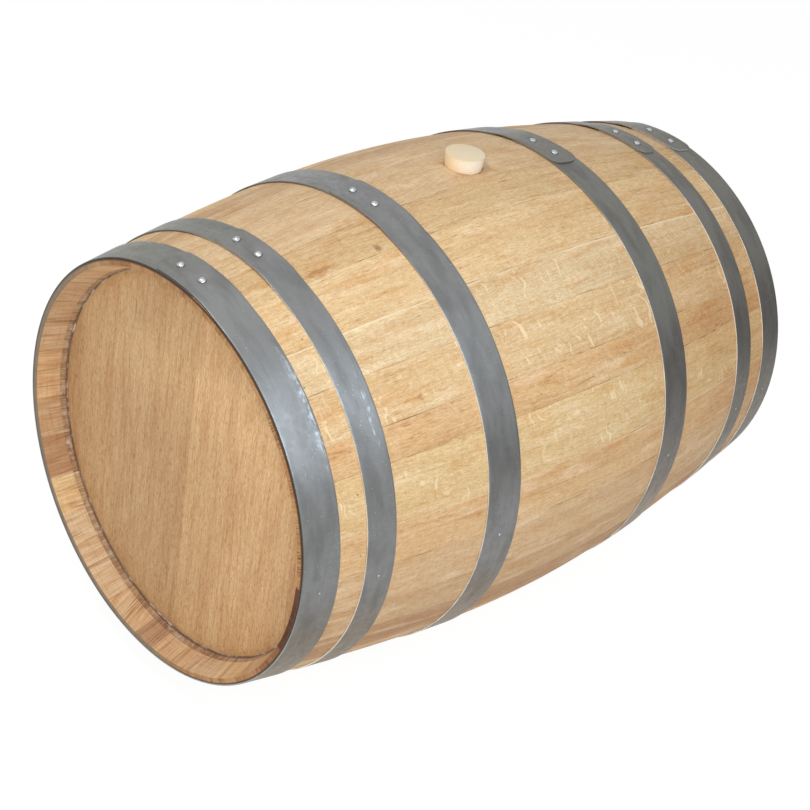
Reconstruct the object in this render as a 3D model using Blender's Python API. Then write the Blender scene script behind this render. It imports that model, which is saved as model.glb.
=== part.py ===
"""Oak whiskey barrel with three galvanised hoops at each end, two flat heads and a wooden bung.

The barrel lies on its bilge. X runs along it, Z up through the bung and Y across it, in metres.
The origin is on the floor under the middle. The end at -X is the front, the end at +X the back.
Angles round the barrel start at the top and grow toward -Y.
"""
import math

import bmesh
import bpy
from mathutils import Matrix

# Overall shape of the wood
LENGTH = 0.920
BILGE_RADIUS = 0.3283
END_RADIUS = 0.2778
BEND_WIDTH = 0.326          # how long the tight part of the stave's bend is
STAVE_THICKNESS = 0.027
END_FACE = 0.008            # flat end of each stave, outside the chime bevel
REST_FLAT = 0.090           # straight stretch at the bilge, on which the barrel lies
CLEARANCE = 0.0003          # gap between pieces that touch

# Stave widths at the bilge, going round from the bung
BUNG_STAVE_WIDTH = 0.087
BUNG_STAVE_OFFSET = 0.006   # the bung hole is this far from the middle of its stave
REST_STAVE_WIDTH = 0.046
NEAR_SIDE_WIDTHS = (0.060, 0.084, 0.062, 0.070, 0.048, 0.084, 0.061,
                    0.069, 0.058, 0.072, 0.074, 0.074, 0.074, 0.080)
FAR_SIDE_WIDTHS = (0.076, 0.069, 0.095, 0.064, 0.073, 0.064, 0.100,
                   0.053, 0.064, 0.069, 0.062, 0.058, 0.058, 0.052)

# Hoops: width of the strap, and how far its outer edge is from the end of the staves
HEAD_HOOP = ("head_hoop", 0.001, 0.049)
QUARTER_HOOP = ("quarter_hoop", 0.0876, 0.0402)
BILGE_HOOP = ("bilge_hoop", 0.2663, 0.0516)
HOOP_THICKNESS = 0.002
LAP_REACH = 0.046           # each end of the strap passes the top of the barrel by this much
LAP_EASE = 0.030            # length over which the strap climbs onto its other end
TONGUE_DEPTH = 0.011        # rounded end of the strap
TONGUE_SHARES = ((0.0, 0.45), (0.2, 0.76), (0.5, 0.93))   # how far in from the tip, and how wide there
RIVET_SPACING = 0.042
RIVET_SHANK_RADIUS = 0.0028
RIVET_HEAD_RADIUS = 0.0055
RIVET_HEAD_HEIGHT = 0.0024
RIVET_FOOT_RADIUS = 0.0040  # spread foot, flush inside the inner strap
RIVET_FOOT_DEPTH = 0.0012

# Heads: boards laid side by side across the barrel, their rim held in the croze of the staves
HEAD_THICKNESS = 0.024
HEAD_RECESS = 0.036         # from the end of the staves down to the head's outer face
HEAD_BOARD_WIDTHS = (0.118, 0.153, 0.082, 0.084, 0.079)
HEAD_OUTER_BEVEL = 0.0054
HEAD_OUTER_BEVEL_WIDTH = 0.017
HEAD_INNER_BEVEL = 0.0141
HEAD_INNER_BEVEL_WIDTH = 0.025
CROZE_DEPTH = 0.005
TONGUE_THICKNESS = 0.006    # tongue and groove between head boards
TONGUE_REACH = 0.005

# Bung, a tapered plug
BUNG_FROM_MIDDLE = 0.010    # along the barrel
BUNG_RADIUS = 0.0240        # where it enters the stave
BUNG_PROUD = 0.0195
BUNG_DEPTH = 0.0265
BUNG_TAPER = 0.09           # radius gained for each unit of height
BUNG_CHAMFER = 0.0012

# How finely round shapes are cut
STAVE_FACET = math.radians(5.2)
HOOP_FACET = math.radians(5.0)
HEAD_SIDES = 60
RIVET_SIDES = 10
RIVET_DOME_LEANS = (30, 60)     # degrees up the dome, between its rim and its top
BUNG_SIDES = 32
INSIDE_STEPS = 3                # straight stretches along the inside, from croze to middle
STAVE_CREASE = math.radians(20)     # a sharper edge than this stays crisp
STRAP_CREASE = math.radians(30)
TURNED_CREASE = math.radians(40)

HALF_LENGTH = LENGTH / 2
HALF_TURN = math.pi


def clear_scene():
    for item in list(bpy.data.objects):
        bpy.data.objects.remove(item, do_unlink=True)


def finish_material(name, colour, roughness, metallic):
    material = bpy.data.materials.new(name)
    material.use_nodes = True
    shader = material.node_tree.nodes["Principled BSDF"]
    shader.inputs["Base Color"].default_value = (*colour, 1.0)
    shader.inputs["Roughness"].default_value = roughness
    shader.inputs["Metallic"].default_value = metallic
    return material


def add_object(name, mesh, material, parent):
    """Put a mesh in the scene as one named piece."""
    piece = bpy.data.objects.new(name, mesh)
    if not mesh.materials:
        mesh.materials.append(material)
    piece.parent = parent
    bpy.context.scene.collection.objects.link(piece)
    return piece


def add_cutter(name, mesh, parent):
    """A shape that only cuts others."""
    cutter = bpy.data.objects.new(name, mesh)
    cutter.parent = parent
    cutter.hide_render = True
    cutter.display_type = 'WIRE'
    bpy.context.scene.collection.objects.link(cutter)
    return cutter


def cut(piece, cutter, operation):
    boolean = piece.modifiers.new(cutter.name, 'BOOLEAN')
    boolean.operation = operation
    boolean.solver = 'EXACT'
    boolean.object = cutter


def to_mesh(shape, name, smooth_angle=None):
    """Close a bmesh off as a mesh with its faces pointing out."""
    bmesh.ops.recalc_face_normals(shape, faces=shape.faces)
    mesh = bpy.data.meshes.new(name)
    shape.to_mesh(mesh)
    shape.free()
    if smooth_angle is not None:
        mesh.shade_smooth()
        mesh.set_sharp_from_angle(angle=smooth_angle)
    return mesh


def turned(profile, sides, name):
    """Turn a profile of (radius, height) points, from axis to axis, about Z."""
    shape = bmesh.new()
    points = [shape.verts.new((radius, 0, height)) for radius, height in profile]
    edges = [shape.edges.new(pair) for pair in zip(points, points[1:])]
    bmesh.ops.spin(shape, geom=points + edges, cent=(0, 0, 0), axis=(0, 0, 1), angle=2 * math.pi,
                   steps=sides, use_merge=True)
    bmesh.ops.remove_doubles(shape, verts=shape.verts, dist=1e-6)
    return to_mesh(shape, name, TURNED_CREASE)


def extruded(outline, direction, name):
    """Extrude a flat outline of points along a direction."""
    shape = bmesh.new()
    face = shape.faces.new([shape.verts.new(point) for point in outline])
    grown = bmesh.ops.extrude_face_region(shape, geom=[face])
    corners = [item for item in grown["geom"] if isinstance(item, bmesh.types.BMVert)]
    bmesh.ops.translate(shape, verts=corners, vec=direction)
    return to_mesh(shape, name)


# The barrel's curve and the ring of staves

def wood_radius(x):
    """Outside of the wood: nearly straight at the ends, bent at the bilge."""
    rise = math.hypot(x, BEND_WIDTH) - BEND_WIDTH
    end_rise = math.hypot(HALF_LENGTH, BEND_WIDTH) - BEND_WIDTH
    return BILGE_RADIUS - (BILGE_RADIUS - END_RADIUS) * rise / end_rise


def facets(arc):
    """Flat strips across an arc, an odd number so that one lies in the middle."""
    count = math.ceil(arc / STAVE_FACET)
    return max(3, count + 1 - count % 2)


def stave_arcs():
    """Start and end angle of each stave, the bung stave first, then round past -Y."""
    bung_arc = BUNG_STAVE_WIDTH / BILGE_RADIUS
    bung_shift = BUNG_STAVE_OFFSET / BILGE_RADIUS
    rest_arc = REST_STAVE_WIDTH / BILGE_RADIUS
    near_start = bung_arc / 2 - bung_shift
    far_end = 2 * HALF_TURN - bung_arc / 2 - bung_shift
    near_room = HALF_TURN - rest_arc / 2 - near_start
    far_room = far_end - HALF_TURN - rest_arc / 2
    arcs = [bung_arc]
    arcs += [near_room * width / sum(NEAR_SIDE_WIDTHS) for width in NEAR_SIDE_WIDTHS]
    arcs += [rest_arc]
    arcs += [far_room * width / sum(FAR_SIDE_WIDTHS) for width in FAR_SIDE_WIDTHS]
    seams = []
    angle = far_end - 2 * HALF_TURN
    for arc in arcs:
        seams.append((angle, angle + arc))
        angle += arc
    return seams


STAVE_ARCS = stave_arcs()
REST_INDEX = 1 + len(NEAR_SIDE_WIDTHS)
JOINT_ARC = CLEARANCE / (END_RADIUS - STAVE_THICKNESS)


def half_facet(arc):
    return (arc - JOINT_ARC) / facets(arc) / 2


FLATTEST = math.cos(max(half_facet(end - start) for start, end in STAVE_ARCS))
REST_START, REST_END = STAVE_ARCS[REST_INDEX]
AXIS_HEIGHT = BILGE_RADIUS * math.cos(half_facet(REST_END - REST_START))


# Heads and the croze that holds them

def head_face():
    return HALF_LENGTH - HEAD_RECESS


def head_rim_face():
    """Where the outer bevel ends, at the rim."""
    return head_face() - HEAD_OUTER_BEVEL


def head_rim_back():
    return head_face() - HEAD_THICKNESS + HEAD_INNER_BEVEL


def croze_radius():
    """Bottom of the groove, measured where the head's rim face meets the staves."""
    return wood_radius(head_face()) - STAVE_THICKNESS + CROZE_DEPTH


def head_radius():
    return croze_radius() * FLATTEST - CLEARANCE


def outer_wall(radius):
    """Groove wall nearer the end, following the head's outer bevel."""
    slope = HEAD_OUTER_BEVEL / HEAD_OUTER_BEVEL_WIDTH
    return head_rim_face() + CLEARANCE + slope * (croze_radius() - radius)


def inner_wall(radius):
    """Groove wall nearer the middle, following the head's inner bevel."""
    slope = HEAD_INNER_BEVEL / HEAD_INNER_BEVEL_WIDTH
    return head_rim_back() - CLEARANCE - slope * (croze_radius() - radius)


def hoop_edges(hoop):
    """Outer and inner edge of a hoop, along the barrel."""
    _, from_end, width = hoop
    outer = HALF_LENGTH - from_end
    return outer, outer - width


def outside_stations():
    """Places where the outside bends: the hoops' edges, so that each hoop lies on straight wood."""
    stations = [HALF_LENGTH, REST_FLAT / 2]
    for hoop in (HEAD_HOOP, QUARTER_HOOP, BILGE_HOOP):
        stations += hoop_edges(hoop)
    stations.append((hoop_edges(QUARTER_HOOP)[1] + hoop_edges(BILGE_HOOP)[0]) / 2)
    return sorted(set(stations), reverse=True)


def stave_outline():
    """Long section of a stave as (x, radius): the outside from +X to -X, then the inside back."""
    half = outside_stations()
    flat = wood_radius(0)
    outside = [(x, flat if x <= REST_FLAT / 2 else wood_radius(x)) for x in half]
    mouth = croze_radius() - CROZE_DEPTH
    inner_mouth = inner_wall(mouth)
    inside = [(HALF_LENGTH, END_RADIUS - END_FACE),
              (outer_wall(mouth), mouth),
              (outer_wall(croze_radius()), croze_radius()),
              (inner_wall(croze_radius()), croze_radius()),
              (inner_mouth, mouth)]
    for step in range(INSIDE_STEPS - 1, 0, -1):
        x = inner_mouth * step / INSIDE_STEPS
        inside.append((x, wood_radius(x) - STAVE_THICKNESS))
    outside += [(-x, radius) for x, radius in reversed(outside)]
    inside += [(-x, radius) for x, radius in reversed(inside)]
    return outside + inside[::-1]


def stave_mesh(arc, name):
    """Turn the long section through the stave's own arc, centred on the top."""
    shape = bmesh.new()
    face = shape.faces.new([shape.verts.new((x, 0, radius)) for x, radius in stave_outline()])
    sweep = arc - JOINT_ARC
    bmesh.ops.rotate(shape, verts=shape.verts, cent=(0, 0, 0), matrix=Matrix.Rotation(-sweep / 2, 3, 'X'))
    bmesh.ops.spin(shape, geom=[face, *face.edges, *face.verts], cent=(0, 0, 0), axis=(1, 0, 0),
                   angle=sweep, steps=facets(arc))
    return to_mesh(shape, name, STAVE_CREASE)


def add_staves(barrel, oak):
    for index, (start, end) in enumerate(STAVE_ARCS):
        name = "bung_stave" if index == 0 else "stave_%02d" % (index + 1)
        stave = add_object(name, stave_mesh(end - start, name), oak, barrel)
        stave.rotation_euler.x = (start + end) / 2
        if index == 0:
            cut(stave, add_bung_hole(barrel), 'DIFFERENCE')


# Bung

def bung_radius(height, play=0.0):
    """Radius of the tapered plug at a height above the wood."""
    return BUNG_RADIUS + BUNG_TAPER * height + play


def add_bung_hole(barrel):
    below, above = -2 * STAVE_THICKNESS, STAVE_THICKNESS
    profile = [(0, below),
               (bung_radius(below, CLEARANCE), below),
               (bung_radius(above, CLEARANCE), above),
               (0, above)]
    cutter = add_cutter("bung_hole_cutter", turned(profile, BUNG_SIDES, "bung_hole"), barrel)
    cutter.location = (BUNG_FROM_MIDDLE, 0, BILGE_RADIUS)
    return cutter


def add_bung(poplar):
    top, bottom = BUNG_PROUD, -BUNG_DEPTH
    profile = [(0, bottom),
               (bung_radius(bottom) - BUNG_CHAMFER, bottom),
               (bung_radius(bottom + BUNG_CHAMFER), bottom + BUNG_CHAMFER),
               (bung_radius(top - BUNG_CHAMFER), top - BUNG_CHAMFER),
               (bung_radius(top) - BUNG_CHAMFER, top),
               (0, top)]
    bung = add_object("bung", turned(profile, BUNG_SIDES, "bung"), poplar, None)
    bung.location = (BUNG_FROM_MIDDLE, 0, AXIS_HEIGHT + BILGE_RADIUS)


# Head boards

def head_disc():
    """The whole head as one disc about Z, outer face up at height 0, before it is cut into boards."""
    rim = head_radius()
    rim_face = -HEAD_OUTER_BEVEL
    rim_back = HEAD_INNER_BEVEL - HEAD_THICKNESS
    profile = [(0, -HEAD_THICKNESS),
               (rim - HEAD_INNER_BEVEL_WIDTH, -HEAD_THICKNESS),
               (rim, rim_back),
               (rim, rim_face),
               (rim - HEAD_OUTER_BEVEL_WIDTH, 0),
               (0, 0)]
    return turned(profile, HEAD_SIDES, "head_disc")


def board_seams():
    """Joints between head boards, measured across the head; the widths fill the whole head."""
    seams = [-head_radius()]
    for width in HEAD_BOARD_WIDTHS:
        seams.append(seams[-1] + 2 * head_radius() * width / sum(HEAD_BOARD_WIDTHS))
    return seams


def board_outline(low, high, first, last):
    """Section across one board, with a tongue on its high side and a groove on its low side."""
    middle = -HEAD_THICKNESS / 2
    play = CLEARANCE / 2
    tongue = TONGUE_THICKNESS / 2 - play
    groove = TONGUE_THICKNESS / 2 + play
    over = HEAD_THICKNESS
    outline = [(low + play, -HEAD_THICKNESS - over)]
    if last:
        outline += [(high + over, -HEAD_THICKNESS - over), (high + over, over)]
    else:
        outline += [(high - play, -HEAD_THICKNESS - over),
                    (high - play, middle - tongue),
                    (high + TONGUE_REACH - play, middle - tongue),
                    (high + TONGUE_REACH - play, middle + tongue),
                    (high - play, middle + tongue),
                    (high - play, over)]
    outline.append((low + play, over))
    if first:
        outline[0] = (low - over, -HEAD_THICKNESS - over)
        outline[-1] = (low - over, over)
    else:
        outline += [(low + play, middle + groove),
                    (low + TONGUE_REACH + play, middle + groove),
                    (low + TONGUE_REACH + play, middle - groove),
                    (low + play, middle - groove)]
    return outline


def add_head(end_name, turn, barrel, oak):
    """Boards of one head. The disc's Z is turned to point out of the barrel's end."""
    head = bpy.data.objects.new(end_name + "_head", None)
    bpy.context.scene.collection.objects.link(head)
    head.parent = barrel
    head.matrix_local = (Matrix.Rotation(turn, 4, 'Z') @ Matrix.Translation((head_face(), 0, 0))
                         @ Matrix.Rotation(HALF_TURN / 2, 4, 'Y'))
    disc = head_disc()
    seams = board_seams()
    reach = 3 * head_radius()
    count = len(HEAD_BOARD_WIDTHS)
    for index in range(count):
        name = "%s_head_board_%d" % (end_name, index + 1)
        outline = board_outline(seams[index], seams[index + 1], index == 0, index == count - 1)
        corners = [(-reach / 2, across, depth) for across, depth in outline]
        cutter = add_cutter(name + "_cutter", extruded(corners, (reach, 0, 0), name + "_section"), head)
        board = add_object(name, disc, oak, head)
        cut(board, cutter, 'INTERSECT')


# Hoops and their rivets

HALF_HOOP_FACET = HOOP_FACET / 2
ROUND_UP = 1 / math.cos(HALF_HOOP_FACET)


def strap_radius(hoop, x):
    """Inside of the strap: a straight cone over the wood between the hoop's edges."""
    outer, inner = hoop_edges(hoop)
    share = (x - inner) / (outer - inner)
    wood = wood_radius(inner) + share * (wood_radius(outer) - wood_radius(inner))
    return (wood + CLEARANCE) * ROUND_UP


def strap_lift(hoop):
    """How far the outer end of the strap stands off, to lie on the inner end."""
    base = strap_radius(hoop, hoop_edges(hoop)[1])
    return (base + HOOP_THICKNESS + CLEARANCE) * ROUND_UP - base


def strap_stations(hoop):
    """(angle, lift, width share) along the strap, from its inner end round to its outer end."""
    base = strap_radius(hoop, hoop_edges(hoop)[0])
    reach = LAP_REACH / base
    tip = TONGUE_DEPTH / base
    start, end = -reach, 2 * HALF_TURN + reach
    steps = math.ceil((end - start - 2 * tip) / HOOP_FACET)
    lifted = 2 * HALF_TURN - reach - HOOP_FACET
    ease = LAP_EASE / base
    angles = [(start + tip * along, share) for along, share in TONGUE_SHARES]
    angles += [(start + tip + (end - start - 2 * tip) * step / steps, 1.0) for step in range(steps + 1)]
    angles += [(end - tip * along, share) for along, share in reversed(TONGUE_SHARES)]
    stations = []
    for angle, share in angles:
        rise = min(1.0, max(0.0, (angle - lifted + ease) / ease))
        stations.append((angle, strap_lift(hoop) * rise, share))
    return stations


def strap_section(hoop, angle, lift, share):
    """Four corners of the strap at one angle, narrowed about its middle by the width share."""
    outer, inner = hoop_edges(hoop)
    middle = (outer + inner) / 2
    half = (outer - inner) / 2 * share
    corners = []
    for x, thickness in ((middle - half, 0), (middle + half, 0),
                         (middle + half, HOOP_THICKNESS), (middle - half, HOOP_THICKNESS)):
        radius = strap_radius(hoop, x) + lift + thickness
        corners.append((x, -radius * math.sin(angle), radius * math.cos(angle)))
    return corners


def strap_mesh(hoop):
    """One strap, extruded section by section round the barrel, with its ends lapped at the top."""
    stations = strap_stations(hoop)
    shape = bmesh.new()
    face = shape.faces.new([shape.verts.new(corner) for corner in strap_section(hoop, *stations[0])])
    for station in stations[1:]:
        corners = strap_section(hoop, *station)
        grown = bmesh.ops.extrude_face_region(shape, geom=[face, *face.edges, *face.verts])
        face = next(item for item in grown["geom"] if isinstance(item, bmesh.types.BMFace))
        for vert, corner in zip(face.verts, corners):
            vert.co = corner
    return to_mesh(shape, hoop[0], STRAP_CREASE)


def rivet_place(hoop, side):
    """Where a rivet's head sits on the outer strap, with Z square to the strap's cone."""
    outer, inner = hoop_edges(hoop)
    middle = (outer + inner) / 2
    slant = math.atan((wood_radius(inner) - wood_radius(outer)) / (outer - inner))
    top = strap_radius(hoop, middle) + strap_lift(hoop) + HOOP_THICKNESS
    angle = side * RIVET_SPACING / 2 / top
    return (Matrix.Rotation(angle, 4, 'X') @ Matrix.Translation((middle, 0, top))
            @ Matrix.Rotation(slant, 4, 'Y'))


def rivet_depth(hoop):
    """From the outer strap's outside to the inner strap's inside."""
    outer, inner = hoop_edges(hoop)
    middle = (outer + inner) / 2
    top = strap_radius(hoop, middle) + strap_lift(hoop) + HOOP_THICKNESS
    return top - strap_radius(hoop, middle) / ROUND_UP


def rivet_mesh(hoop):
    seat = CLEARANCE / 3
    depth = rivet_depth(hoop)
    profile = [(0, -depth), (RIVET_FOOT_RADIUS, -depth), (RIVET_SHANK_RADIUS, RIVET_FOOT_DEPTH - depth),
               (RIVET_SHANK_RADIUS, seat), (RIVET_HEAD_RADIUS, seat)]
    for lean in map(math.radians, RIVET_DOME_LEANS):
        profile.append((RIVET_HEAD_RADIUS * math.cos(lean), seat + RIVET_HEAD_HEIGHT * math.sin(lean)))
    profile.append((0, seat + RIVET_HEAD_HEIGHT))
    return turned(profile, RIVET_SIDES, hoop[0] + "_rivet")


def rivet_hole_mesh(hoop):
    over = HOOP_THICKNESS
    depth = rivet_depth(hoop)
    foot = RIVET_FOOT_RADIUS + CLEARANCE
    shank = RIVET_SHANK_RADIUS + CLEARANCE
    profile = [(0, -depth - over), (foot, -depth - over), (foot, -depth),
               (shank, RIVET_FOOT_DEPTH - depth), (shank, over), (0, over)]
    return turned(profile, RIVET_SIDES, hoop[0] + "_rivet_hole")


def add_hoops(end_name, turn, barrel, steel, rivet_steel):
    for hoop in (HEAD_HOOP, QUARTER_HOOP, BILGE_HOOP):
        name = "%s_%s" % (end_name, hoop[0])
        strap = add_object(name, strap_mesh(hoop), steel, barrel)
        strap.rotation_euler.z = turn
        rivet, hole = rivet_mesh(hoop), rivet_hole_mesh(hoop)
        for number, side in ((1, -1), (2, 1)):
            place = rivet_place(hoop, side)
            cutter = add_cutter("%s_hole_%d" % (name, number), hole, strap)
            cutter.matrix_local = place
            cut(strap, cutter, 'DIFFERENCE')
            piece = add_object("%s_rivet_%d" % (name, number), rivet, rivet_steel, strap)
            piece.matrix_local = place


def build():
    clear_scene()
    stave_oak = finish_material("stave_oak", (0.62, 0.42, 0.23), 0.62, 0.0)
    head_oak = finish_material("head_oak", (0.56, 0.36, 0.19), 0.62, 0.0)
    poplar = finish_material("bung_poplar", (0.78, 0.66, 0.45), 0.60, 0.0)
    hoop_steel = finish_material("hoop_steel", (0.24, 0.25, 0.26), 0.45, 1.0)
    rivet_steel = finish_material("rivet_steel", (0.34, 0.35, 0.36), 0.32, 1.0)
    barrel = bpy.data.objects.new("barrel", None)
    barrel.location.z = AXIS_HEIGHT
    bpy.context.scene.collection.objects.link(barrel)
    add_staves(barrel, stave_oak)
    for end_name, turn in (("back", 0.0), ("front", HALF_TURN)):
        add_head(end_name, turn, barrel, head_oak)
        add_hoops(end_name, turn, barrel, hoop_steel, rivet_steel)
    add_bung(poplar)


build()
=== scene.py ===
"""Whiskey barrel: oak staves and heads, galvanised hoops, rivets, hoop nails and a poplar bung.

The barrel lies on its bilge, X along it and Z up, in metres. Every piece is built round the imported
model, whose nodes say where the staves, boards, hoops and rivets are. Angles round the barrel start
at the top and grow towards -Y, the side that faces the camera.
"""
import math

import bmesh
import bpy
from mathutils import Matrix, Vector, noise


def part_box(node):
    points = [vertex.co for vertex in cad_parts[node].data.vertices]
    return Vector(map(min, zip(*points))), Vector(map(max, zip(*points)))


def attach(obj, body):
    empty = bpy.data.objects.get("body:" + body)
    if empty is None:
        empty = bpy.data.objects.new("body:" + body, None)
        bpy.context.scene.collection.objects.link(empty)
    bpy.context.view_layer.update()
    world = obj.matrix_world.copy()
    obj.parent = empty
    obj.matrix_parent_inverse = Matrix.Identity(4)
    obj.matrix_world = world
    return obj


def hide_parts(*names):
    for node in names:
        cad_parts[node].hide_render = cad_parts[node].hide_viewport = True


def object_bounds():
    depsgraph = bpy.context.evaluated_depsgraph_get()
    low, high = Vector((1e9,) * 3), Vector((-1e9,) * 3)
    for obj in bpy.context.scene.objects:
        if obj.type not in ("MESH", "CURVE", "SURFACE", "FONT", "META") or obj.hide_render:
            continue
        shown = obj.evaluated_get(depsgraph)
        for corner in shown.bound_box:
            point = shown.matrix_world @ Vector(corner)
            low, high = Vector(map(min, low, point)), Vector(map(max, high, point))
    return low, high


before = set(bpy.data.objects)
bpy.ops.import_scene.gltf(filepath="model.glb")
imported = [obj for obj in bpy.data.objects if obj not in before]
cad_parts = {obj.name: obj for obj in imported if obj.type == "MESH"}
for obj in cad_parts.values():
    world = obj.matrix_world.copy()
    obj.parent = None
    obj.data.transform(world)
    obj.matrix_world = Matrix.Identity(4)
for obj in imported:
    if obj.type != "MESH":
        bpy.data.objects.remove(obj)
CAD_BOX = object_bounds()

bl_info = {
    "name": "Whiskey Barrel",
    "version": (1, 0, 0),
    "blender": (4, 5, 0),
    "location": "3D View > Sidebar > Barrel",
    "description": "Oak staves and heads, galvanised hoops, rivets, nails and bung of a whiskey barrel",
    "category": "Object",
}


def linear(colour):
    """An sRGB hex colour as the linear values that shaders take."""
    shares = [int(colour[start:start + 2], 16) / 255 for start in (1, 3, 5)]
    return tuple(share / 12.92 if share <= 0.04045 else ((share + 0.055) / 1.055) ** 2.4
                 for share in shares)


# How close counts as one place or angle, which points are merged, and how bent an edge is at a rim

SAME = 1e-4
MERGED = 1e-6
SHARP = math.radians(60)


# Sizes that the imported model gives

def corners(node):
    return [vert.co.copy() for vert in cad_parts[node].data.vertices]


def nodes_called(part):
    return sorted(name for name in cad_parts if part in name)


HEAD_LOW = min(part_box(name)[0].z for name in nodes_called("_head_board_"))
HEAD_HIGH = max(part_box(name)[1].z for name in nodes_called("_head_board_"))
AXIS_HEIGHT = (HEAD_LOW + HEAD_HIGH) / 2
AXIS_POINT = Vector((0, 0, AXIS_HEIGHT))
HALF_LENGTH = CAD_BOX[1].x
SANDING = 0.0001            # taken off the outside, so that the staves stay inside the model's box
BILGE_RADIUS = AXIS_HEIGHT - SANDING


def polar(point):
    """(angle from the top towards -Y, distance from the barrel's axis) of a point."""
    across, height = -point.y, point.z - AXIS_HEIGHT
    return math.atan2(across, height), math.hypot(across, height)


def on_barrel(x, angle, radius):
    return Vector((x, -radius * math.sin(angle), AXIS_HEIGHT + radius * math.cos(angle)))


def turn_between(angle, start):
    """Angle less start, brought to between minus and plus half a turn."""
    return (angle - start + math.pi) % (2 * math.pi) - math.pi


END_RADIUS = max(polar(point)[1] for point in corners("stave_02") if point.x > HALF_LENGTH - SAME) - SANDING


# Settings that a user would change

def metres(label, words, default, least=0):
    return bpy.props.FloatProperty(name=label, description=words, default=default, min=least, unit='LENGTH')


def factor(label, words, default):
    return bpy.props.FloatProperty(name=label, description=words, default=default, min=0, max=1,
                                   subtype='FACTOR')


def tone(label, words, colour):
    return bpy.props.FloatVectorProperty(name=label, description=words, subtype='COLOR',
                                         default=linear(colour), min=0, max=1)


class BarrelWood(bpy.types.PropertyGroup):
    """Sizes of the worked wood."""
    bend_width: metres("Bend width", "How long the tight part of the staves' bend is", 0.326, 0.1)
    seam_width: metres("Seam width", "Hairline left between two staves", 0.00005)
    seam_ease: metres("Seam ease", "Rounding of each stave's long edges", 0.0002)
    howel_share: factor("Howel share", "Part of the chime bevel, next to the head, that is cut again", 0.24)
    howel_depth: metres("Howel depth", "How much deeper the howel is cut", 0.0006)
    head_bevel_depth: metres("Head bevel depth", "How far the rim of a head is cut back outside", 0.0054)
    head_bevel_width: metres("Head bevel width", "Width of that bevel", 0.017)
    bung_taper: bpy.props.FloatProperty(
        name="Bung taper", description="Radius that the bung gains for each metre of height",
        default=0.09, min=0)
    bung_play: metres("Bung play", "Gap round the bung in its hole", 0.0005)


class BarrelSteel(bpy.types.PropertyGroup):
    """Sizes of the hoops and what fastens them."""
    thickness: metres("Strap thickness", "Thickness of the hoops", 0.0020, 0.0005)
    gap: metres("Hoop gap", "Gap between a hoop and the wood, or between its two ends", 0.0001)
    lap_reach: metres("Lap reach", "How far each end of the strap passes the top", 0.046)
    lap_ease: metres("Lap ease", "Length over which the strap climbs onto its other end", 0.030)
    tongue_depth: metres("Tongue depth", "Rounded part at each end of the strap", 0.016)
    tongue_tip: factor("Tongue tip", "Width of the tongue's straight tip, as a share of the strap", 0.24)
    edge_ease: metres("Edge ease", "Rounding of the strap's edges", 0.00022)
    rivet_radius: metres("Rivet radius", "Radius of a rivet's head", 0.0055)
    rivet_height: metres("Rivet height", "Height of a rivet's head", 0.0030)
    flare: metres("Flare", "How far the rim of the front head hoop stands off low on the +Y side", 0.0026)
    dimple_radius: metres("Dimple radius", "How far the strap is dished round a rivet", 0.0150)
    dimple_depth: metres("Dimple depth", "How deep the strap is dished round a rivet", 0.0010)
    nail_radius: metres("Nail radius", "Radius of a hoop nail's head", 0.0019)
    nail_height: metres("Nail height", "Height of a hoop nail's head", 0.0010)


class BarrelTones(bpy.types.PropertyGroup):
    """Colours of the oak, stave by stave, and of the other finishes."""
    cream: tone("Cream", "Palest sapwood side of the oak", "#e7d3ae")
    yellow: tone("Yellow", "Pale yellow oak", "#e9d0a2")
    honey: tone("Honey", "Light honey oak", "#e7cda3")
    sand: tone("Sand", "Pale, slightly grey oak", "#dec6a3")
    tan: tone("Tan", "Middle oak", "#dcbf98")
    amber: tone("Amber", "Orange oak", "#e3c295")
    russet: tone("Russet", "Browner, redder oak", "#dcc299")
    # Rose is partly a pinkish oak and partly painted shade: it is darker than the other tones for the two
    # staves that use it
    rose_and_shade: tone("Rose", "Pinkish oak", "#bf9b76")
    ash: tone("Ash", "Greyish tan oak", "#d1b38d")
    umber: tone("Umber", "Brown oak near the heart", "#bd9c7b")
    smoke: tone("Smoke", "Dark brown end of a stave", "#7b5640")
    head: tone("Head", "Boards of the heads", "#f2ce9d")
    steel: tone("Steel", "Galvanised hoops", "#8a8b8b")
    # Painted highlight in part: the sheared edges are near white, as where they catch the light
    cut_steel_and_highlight: tone("Cut steel", "Sheared edges of the hoops", "#f2ece0")
    rivet: tone("Rivet", "Zinc plated rivets and nails", "#c0c3c6")
    poplar: tone("Poplar", "Bung", "#fdf2df")


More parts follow.
